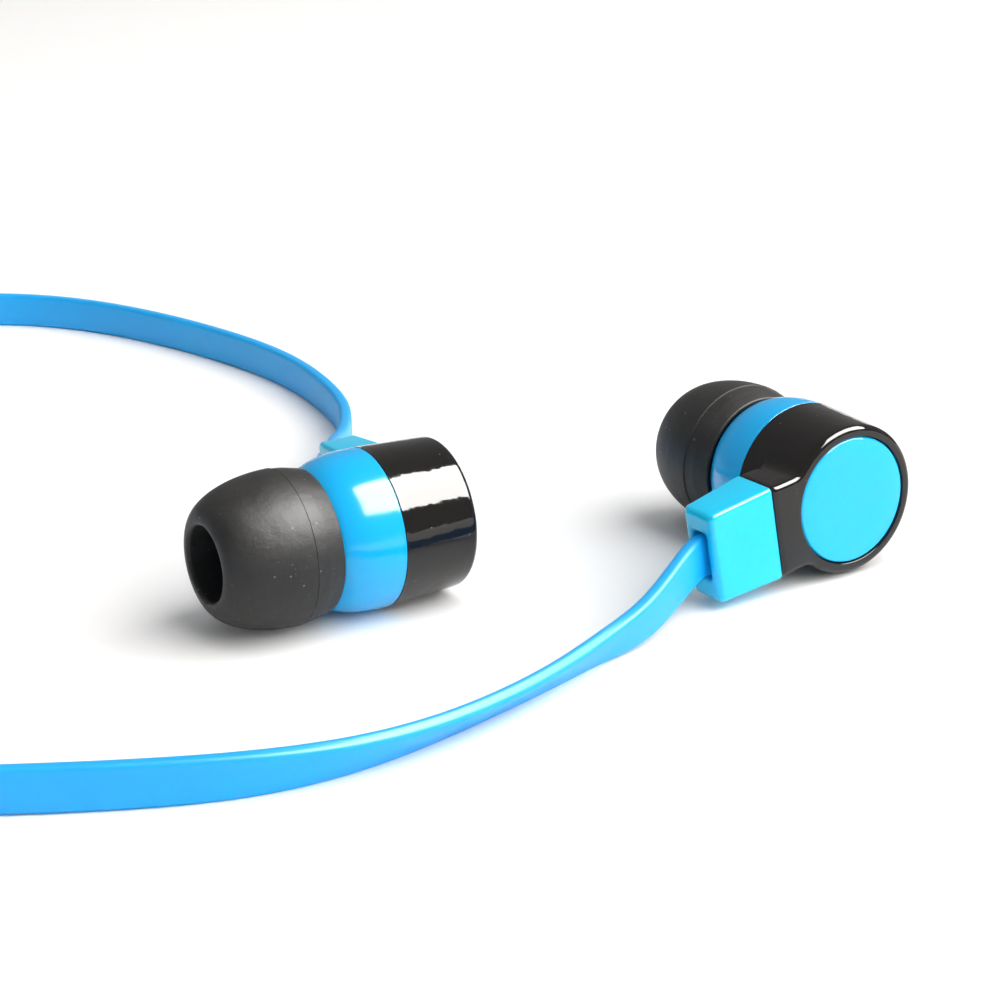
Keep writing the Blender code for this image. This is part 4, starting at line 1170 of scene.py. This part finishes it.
@dataclass
class Cabling:
    """The two branches, the splitter and the coiled main cable (mm and degrees)."""

    centre: tuple[float, float] = (-106.8, 0.0)
    turn_pitch: float = 1.5
    outer_turn: float = 29.2
    splitter_angle: float = 312.0
    splitter_length: float = 13.0
    half_width: float = 1.7
    cable_start: float = 4.6
    lane: float = 26.1
    ring_first: float = 24.75
    ring_last: float = 18.15
    ring_turns: float = 5.125
    tail_turn: float = 16.7
    right_route: tuple[RoutePoint, ...] = (
        (6.9, -15.0, 2.4, -8), (3.3, -19.2, 1.65, -28), (-0.5, -23.8, 1.4, -42), (-4.7, -28.6, 1.35, -48),
        (-9.4, -33.2, 1.4, -44), (-14.8, -37.1, 1.55, -31), (-20.9, -39.5, 1.67, -14), (-28.0, -40.5, 1.7, -3),
        (-37.0, -40.7, 1.7, 0), (-48.0, -39.6, 1.7, 0), (-59.5, -34.4, 1.7, 0), (-68.4, -24.2, 1.7, 0),
        (-73.5, -12.0, 1.7, 0), (-75.7, 0.0, 1.7, 0), (-79.0, 11.0, 1.7, 0), (-85.5, 19.3, 1.7, 0),
    )
    left_route: tuple[RoutePoint, ...] = (
        (-18.1, 15.1, 4.6, 0), (-18.1, 20.3, 3.65, 0), (-17.8, 26.2, 2.5, 0), (-17.7, 32.0, 1.85, 0),
        (-18.2, 37.8, 1.7, 0), (-20.1, 44.6, 1.7, 0), (-23.6, 52.6, 1.7, 0), (-29.4, 61.2, 1.7, 0),
        (-38.2, 70.6, 1.7, 0), (-47.6, 77.8, 1.7, 0), (-57.5, 81.4, 1.7, 0), (-68.0, 80.0, 1.7, 0),
        (-77.6, 72.5, 1.7, 0), (-84.0, 60.5, 1.7, 0), (-88.8, 47.5, 1.7, 0), (-95.6, 36.5, 1.7, 0),
    )
    tail_route: tuple[tuple[float, float, float], ...] = (
        (10.5, 12.6, 1.7), (5.0, 15.4, 1.75), (-1.0, 15.2, 2.1), (-5.6, 11.6, 2.6))
    tail_azimuth: float = 25.0

    def on_turn(self, radius: float, angle: float) -> RoutePoint:
        """A point of the coil's plan."""
        return (self.centre[0] + radius * cos(radians(angle)), self.centre[1] + radius * sin(radians(angle)),
                self.half_width, 0.0)

    def turn_points(self, first: float, last: float, start: float, end: float,
                    step: float = 18.0) -> list[RoutePoint]:
        """Points of a turn whose radius changes evenly.

        Args:
            first: the radius at the start.
            last: the radius at the end.
            start: the angle of the start, in degrees.
            end: the angle of the end, in degrees.
            step: about how many degrees lie between two points.

        Returns:
            The points, both ends among them.
        """
        count = max(2, round((end - start) / step))
        return [self.on_turn(first + (last - first) * k / count, start + (end - start) * k / count)
                for k in range(count + 1)]

    def splitter_ends(self) -> tuple[Vector, Vector, Vector, Vector]:
        """The outer and inner inlets, the outlet, and the heading."""
        heading = radians(self.splitter_angle + 90)
        along = Vector((cos(heading), sin(heading), 0))
        outward = Vector((sin(heading), -cos(heading), 0))
        middle = Vector(self.on_turn(self.outer_turn - self.turn_pitch / 2, self.splitter_angle)[:3])
        reach = self.splitter_length / 2 - 1.2
        side = outward * self.turn_pitch / 2
        return middle - along * reach + side, middle - along * reach - side, middle + along * reach, along

    def branch(self, bud: Earbud) -> FlatCable:
        """One branch, from the crimp in the bud to the splitter."""
        left = bud.side is Side.LEFT
        outer, inner, _, along = self.splitter_ends()
        radius = self.outer_turn - (0.0 if left else self.turn_pitch)
        start = 118.0 if left else 60.0
        to_mm = Matrix.Scale(1 / MM, 4)

        def inside(reach: float) -> RoutePoint:
            """A point of the middle line at a reach from the bud's axis."""
            return (*(to_mm @ bud.place @ Vector((reach * MM, 0.0, bud.slot_middle * MM))), 0.0)

        points = [inside(bud.relief_end + ahead) for ahead in ((0.6, 2.6) if left else (-0.6, 0.3))]
        points += self.left_route if left else self.right_route
        points += self.turn_points(radius, radius, start, self.splitter_angle - 22, 20.0)
        end = outer if left else inner
        points += [(*(end - along * back), 0.0) for back in (3.0, 0.0)]
        straight_end = bud.relief_end - (0.0 if left else 1.2)
        straight = [inside(reach) for reach in np.linspace(self.cable_start, straight_end, 10)]
        return FlatCable(bud.node("branch_cable_look"), np.vstack([straight, spline_through(points, 0.8)]))

    def main_cable(self, plug: "Plug") -> FlatCable:
        """The main cable: lead turn, coil and tail."""
        _, _, outlet, along = self.splitter_ends()
        points = [(*(outlet + along * ahead), 0.0) for ahead in (0.0, 1.5, 4.5)]
        points += self.turn_points(28.0, self.lane, 345.0, 410.0, 15.0)[:-1]
        points += self.turn_points(self.lane, self.lane, 410.0, 610.0)[:-1]
        points += self.turn_points(self.lane, self.ring_first, 610.0, 660.0)[:-1]
        inner_end = 660.0 + 360.0 * self.ring_turns
        points += self.turn_points(self.ring_first, self.ring_last, 660.0, inner_end)[:-1]
        points += self.turn_points(self.ring_last, self.tail_turn, inner_end, inner_end + 60.0)
        points.append(self.on_turn(self.tail_turn, inner_end + 72.0))
        turn = Matrix.Translation((*self.centre, 0)) @ Matrix.Rotation(radians(self.tail_azimuth), 4, "Z")
        points += [(*(turn @ Vector(point)), 0.0) for point in self.tail_route]
        for reach in (12.9, 10.5, plug.cable_start):
            points.append((*((plug.place @ Vector((reach * MM, 0, 0))) / MM), 0.0))
        return FlatCable("main_cable_look", spline_through(points, 1.1))

    def splitter(self) -> Piece:
        """Moulded block where the branches join, with grip ribs."""
        _, _, _, along = self.splitter_ends()
        middle = Vector(self.on_turn(self.outer_turn - self.turn_pitch / 2, self.splitter_angle)[:3])
        heading = atan2(along.y, along.x)
        half, height = self.splitter_length / 2, 4.2
        lift = Matrix.Translation(Vector((middle.x, middle.y, height / 2)) * MM)
        place = lift @ Matrix.Rotation(heading, 4, "Z")
        turn = Matrix(((1, 0, 0, 0), (0, 0, -1, 0), (0, 1, 0, 0), (0, 0, 0, 1)))
        sections = [(reach, height / 2 - shrink * 0.6, shrink - 2.3, 2.3 - shrink, 0.75 - 0.2 * shrink)
                    for reach, shrink in self._block_profile(half)]
        block = lofted_block("splitter", sections)
        ribs = grip_ribs("splitter_ribs", (-2.4, 2.4), 5, (3.7, 4.5), 1.0, BLUE_BLOCK)
        data = joined((block, ribs), "splitter")
        data.transform(turn)
        return Piece("splitter_look", data, place, BLUE_BLOCK).ride(ROOT, "blue_cable", "y_splitter")

    @staticmethod
    def _block_profile(half: float) -> list[tuple[float, float]]:
        """Pairs (reach, shrink) of a block with soft, slightly tapered ends."""
        turns = [pi / 2 * k / 6 for k in range(7)]
        ends = [(half - 0.7 + 0.7 * sin(turn), 0.45 + 0.6 * (1 - cos(turn))) for turn in turns]
        shoulder = [(half * 0.5 + (half * 0.5 - 0.7) * t, 0.45 * t * t) for t in (0.0, 0.25, 0.5, 0.75)]
        right = shoulder + ends
        return [(-reach, shrink) for reach, shrink in reversed(right)] + right

    def build(self, buds: Sequence[Earbud], plug: "Plug") -> None:
        splitter = self.splitter()
        for bud in buds:
            cable = self.branch(bud)
            piece = cable.build().ride(ROOT, "blue_cable", bud.node("branch_cable"))
            mouth = bud.place @ Vector((bud.relief_end * MM, 0.0, bud.slot_middle * MM))
            cable.path
            log.info("%s branch is %.3f m long", bud.side.value, cable.length)
        cable = self.main_cable(plug)
        piece = cable.build().ride(ROOT, "blue_cable", "main_cable_lead", "main_cable_coil", "main_cable_tail")
        outlet = self.splitter_ends()[2] * MM
        cable.path
        log.info("main cable is %.3f m long", cable.length)


# ---------------------------------------------------------------- plug

@dataclass
class Plug:
    """Right-angle 3.5 mm plug: local Z along the pin, local X back along the cable (mm)."""

    half: float = 3.2
    reach: tuple[float, float] = (-3.6, 8.4)
    end_round: float = 1.25
    neck_start: tuple[float, float] = (2.55, 1.8)
    neck_end: float = 12.4
    cable_start: float = 8.6
    pin_radius: float = 1.75
    insulator_radius: float = 1.63
    collar: tuple[float, float] = (3.25, 4.3)
    contacts: tuple[float, ...] = (6.8, 0.6, 2.4, 0.6, 3.6)

    def __post_init__(self) -> None:
        """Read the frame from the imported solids."""
        along = Vector(CadNodes.points("plug_tip").mean(axis=0) - CadNodes.points("plug_sleeve").mean(axis=0))
        along.z = 0.0
        self.place = CadNodes.frame_from(along, "plug_sleeve", "plug_ring", "plug_body", self.collar[0])
        self.pieces: list[bpy.types.Object] = []

    def _add(self, name: str, data: bpy.types.Mesh, finish: Finish, slot: str, node: str) -> None:
        """Make one piece of the plug."""
        piece = Piece(name, data, self.place, finish)
        self.pieces.append(piece.ride(ROOT, slot, node).object)

    def body(self) -> None:
        """Moulded grip, one soft form from the round end to the ribbed neck."""
        low, high = self.reach
        half, soft, neck_end = self.half, self.end_round, self.neck_end
        neck_half, neck_depth = self.neck_start
        sections: list[Section] = []
        for k in range(7):
            turn = pi / 2 * k / 6
            inset = soft * (1 - sin(turn))
            sections.append((low + soft * (1 - cos(turn)), half - inset, inset - half, half - inset,
                             1.3 - 0.3 * inset))
        for t in np.linspace(0.15, 1.0, 8):
            pinch = 0.12 * sin(pi * t)
            sections.append((low + soft + (high - low - 2.6) * t, half, pinch - half, half - pinch, 1.3))
        for t in np.linspace(0.1, 1.0, 9):
            ease = t * t * (3 - 2 * t)
            wide = half + (neck_half - half) * ease
            deep = half + (neck_depth - half) * ease
            sections.append((high - 1.35 + 1.6 * t, wide, -deep, deep, 1.3 - 0.5 * ease))
        for t in np.linspace(0.15, 1.0, 8):
            wide, deep = neck_half - 0.25 * t, neck_depth - 0.5 * t
            sections.append((high + 0.25 + (neck_end - high - 0.45) * t, wide, -deep, deep, 0.8 - 0.1 * t))
        for k in range(1, 5):
            turn = pi / 2 * k / 4
            shrink = 0.2 * (1 - cos(turn))
            sections.append((neck_end - 0.2 + 0.2 * sin(turn), 2.3 - shrink, shrink - 1.3, 1.3 - shrink, 0.68))
        sections.append((neck_end, 1.95, -0.75, 0.75, 0.45))
        sections += [(reach, 1.85, -0.68, 0.68, 0.4) for reach in (neck_end - 0.2, self.cable_start)]
        ribs = grip_ribs("plug_ribs", (9.3, 11.7), 4, (4.75, 3.15), 0.9, BLUE_BLOCK)
        data = joined((lofted_block("plug_grip", sections), ribs), "plug_grip")
        self._add("plug_grip_look", data, BLUE_BLOCK, "blue_cable", "plug_body")

    def pin(self) -> None:
        """Collar, contacts and insulators, turned."""
        inner = 0.62
        marks = [self.collar[1]]
        for length in self.contacts:
            marks.append(marks[-1] + length)
        low, high = self.collar
        radius = self.pin_radius
        sleeve = rounded([(inner, low, 0), (2.9, low, 0.06), (2.9, high, 0.16), (radius, high, 0.12),
                          (radius, marks[1], 0.06), (inner, marks[1], 0)], steps=4)
        self._add("plug_sleeve_look", turned("sleeve", sleeve, 96), GOLD, "gold", "plug_sleeve")
        rows = (("insulator_rear", 1, self.insulator_radius, BLACK_PLASTIC, "black_plastic"),
                ("ring", 2, radius, GOLD, "gold"),
                ("insulator_front", 3, self.insulator_radius, BLACK_PLASTIC, "black_plastic"))
        for name, row, outer, finish, slot in rows:
            start, end = marks[row] + 0.01, marks[row + 1] - 0.01
            outline = rounded([(inner, start, 0), (outer, start, 0.05), (outer, end, 0.05), (inner, end, 0)],
                              steps=3)
            self._add(f"plug_{name}_look", turned(name, outline, 96), finish, slot, "plug_" + name)
        start, end = marks[4] + 0.01, marks[5]
        tip = [(0.0, 3.3)] + rounded([(0.55, 3.3, 0.05), (0.55, start, 0), (radius, start, 0.05),
                                      (radius, start + 0.35, 0.2), (1.22, start + 0.95, 0.3),
                                      (radius, start + 1.75, 0.35), (0.62, end - 0.12, 0.35), (0.3, end, 0.1)],
                                     closed=False, steps=5) + [(0.0, end)]
        self._add("plug_tip_look", turned("tip", tip, 96), GOLD, "gold", "plug_tip")

    def build(self) -> None:
        """Make the plug's pieces."""
        self.body()
        self.pin()


# ---------------------------------------------------------------- studio

@dataclass
class Studio:
    """White table, a large soft box on the right, a weak light overhead, a pale room, and the camera."""

    camera_place: tuple[float, float, float] = (-4.04, -199.84, 75.39)
    pitch: float = 19.09
    roll: float = -1.97
    lens: float = 97.2
    sensor: float = 36.0
    light_from: tuple[float, float, float] = (0.674, -0.237, 0.703)
    light_upper: tuple[float, float, float] = (0.407, 0.214, 0.888)
    light_lower: tuple[float, float, float] = (0.830, -0.501, 0.241)
    light_distance: float = 0.8
    light_size: tuple[float, float] = (0.75, 0.66)
    gloss_lift: float = 0.13
    diffuse_drop: float = 0.09
    spread: tuple[float, float] = (1.3, 1.7)
    diffuse_power: float = 14.5
    glossy_power: float = 36.0
    room: float = 0.31
    overhead_height: float = 0.8
    overhead_size: float = 0.7
    overhead_power: float = 1.0

    def camera(self) -> None:
        """The camera, level to the table but for a slight roll."""
        data = bpy.data.cameras.new("camera")
        data.lens, data.sensor_width = self.lens, self.sensor
        data.clip_start = 0.01
        pitch, roll = radians(self.pitch), radians(self.roll)
        ahead = Vector((0.0, cos(pitch), -sin(pitch)))
        level, up = Vector((1.0, 0.0, 0.0)), Vector((0.0, sin(pitch), cos(pitch)))
        right = level * cos(roll) + up * sin(roll)
        top = up * cos(roll) - level * sin(roll)
        item = add_object("camera", data)
        turn = Matrix((right, top, -ahead)).transposed().to_4x4()
        item.matrix_world = Matrix.Translation(Vector(self.camera_place) * MM) @ turn
        bpy.context.scene.camera = item

    def table(self) -> None:
        """The white table top."""
        data = bpy.data.meshes.new("table")
        half = 3.0
        corners = [(-half, -half, 0), (half, -half, 0), (half, half, 0), (-half, half, 0)]
        data.from_pydata(corners, [], [(0, 1, 2, 3)])
        data.materials.append(FLOOR.material())
        add_object("table", data)

    def key_light(self) -> None:
        """The large soft box: one light for the surfaces, and one that shows only in the gloss."""
        wide, high = self.light_size
        broad = (wide * self.spread[0], high * self.spread[1])
        self._soft_box("soft_box", broad, self.diffuse_power, False, -self.diffuse_drop)
        self._soft_box("soft_box_gloss", self.light_size, self.glossy_power, True, self.gloss_lift)

    def _soft_box(self, name: str, size: tuple[float, float], power: float, glossy: bool, lift: float) -> None:
        """One of the soft box's two lights.

        Args:
            name: the light's name.
            size: its width and height, in metres.
            power: its power, in watts.
            glossy: whether it shows only in the gloss; if not, it shows everywhere else.
            lift: how far it stands above the box's middle, in metres.
        """
        away = Vector(self.light_from).normalized()
        rise = Vector(self.light_upper) - Vector(self.light_lower)
        rise = (rise - away * rise.dot(away)).normalized()
        turn = Matrix((rise.cross(away), rise, away)).transposed().to_4x4()
        data = bpy.data.lights.new(name, "AREA")
        data.shape = "RECTANGLE"
        data.size, data.size_y = size
        data.energy = power
        data.cycles.use_multiple_importance_sampling = glossy
        data.color = (1.0, 0.975, 0.95)
        item = add_object(name, data)
        item.visible_glossy = glossy
        item.visible_diffuse = not glossy
        item.matrix_world = Matrix.Translation(away * self.light_distance + rise * lift) @ turn

    def overhead_light(self) -> None:
        """A weaker light straight above, which doesn't show in the gloss."""
        data = bpy.data.lights.new("overhead", "AREA")
        data.size = self.overhead_size
        data.energy = self.overhead_power
        data.cycles.use_multiple_importance_sampling = False
        item = add_object("overhead", data)
        item.visible_glossy = False
        item.location = (0.0, 0.12, self.overhead_height)

    def world(self) -> None:
        """The pale room: one even grey all round."""
        world = bpy.data.worlds.new("room")
        world.use_nodes = True
        back = world.node_tree.nodes["Background"]
        back.inputs["Color"].default_value = (1.0, 0.99, 0.98, 1.0)
        back.inputs["Strength"].default_value = self.room
        bpy.context.scene.world = world

    def build(self) -> None:
        """Set the scene."""
        scene = bpy.context.scene
        scene.view_settings.view_transform = "Standard"
        scene.view_settings.look = "None"
        self.camera()
        self.table()
        self.key_light()
        self.overhead_light()
        self.world()


def main() -> None:
    """Build the studio, the cables and every sub-assembly."""
    logging.basicConfig(level=logging.INFO, format="%(name)s: %(message)s")
    Studio().build()
    buds = [Earbud(side) for side in Side]
    plug = Plug()
    plug.build()
    Cabling().build(buds, plug)
    for bud in buds:
        bud.build()


if __name__ == "__main__":
    main()
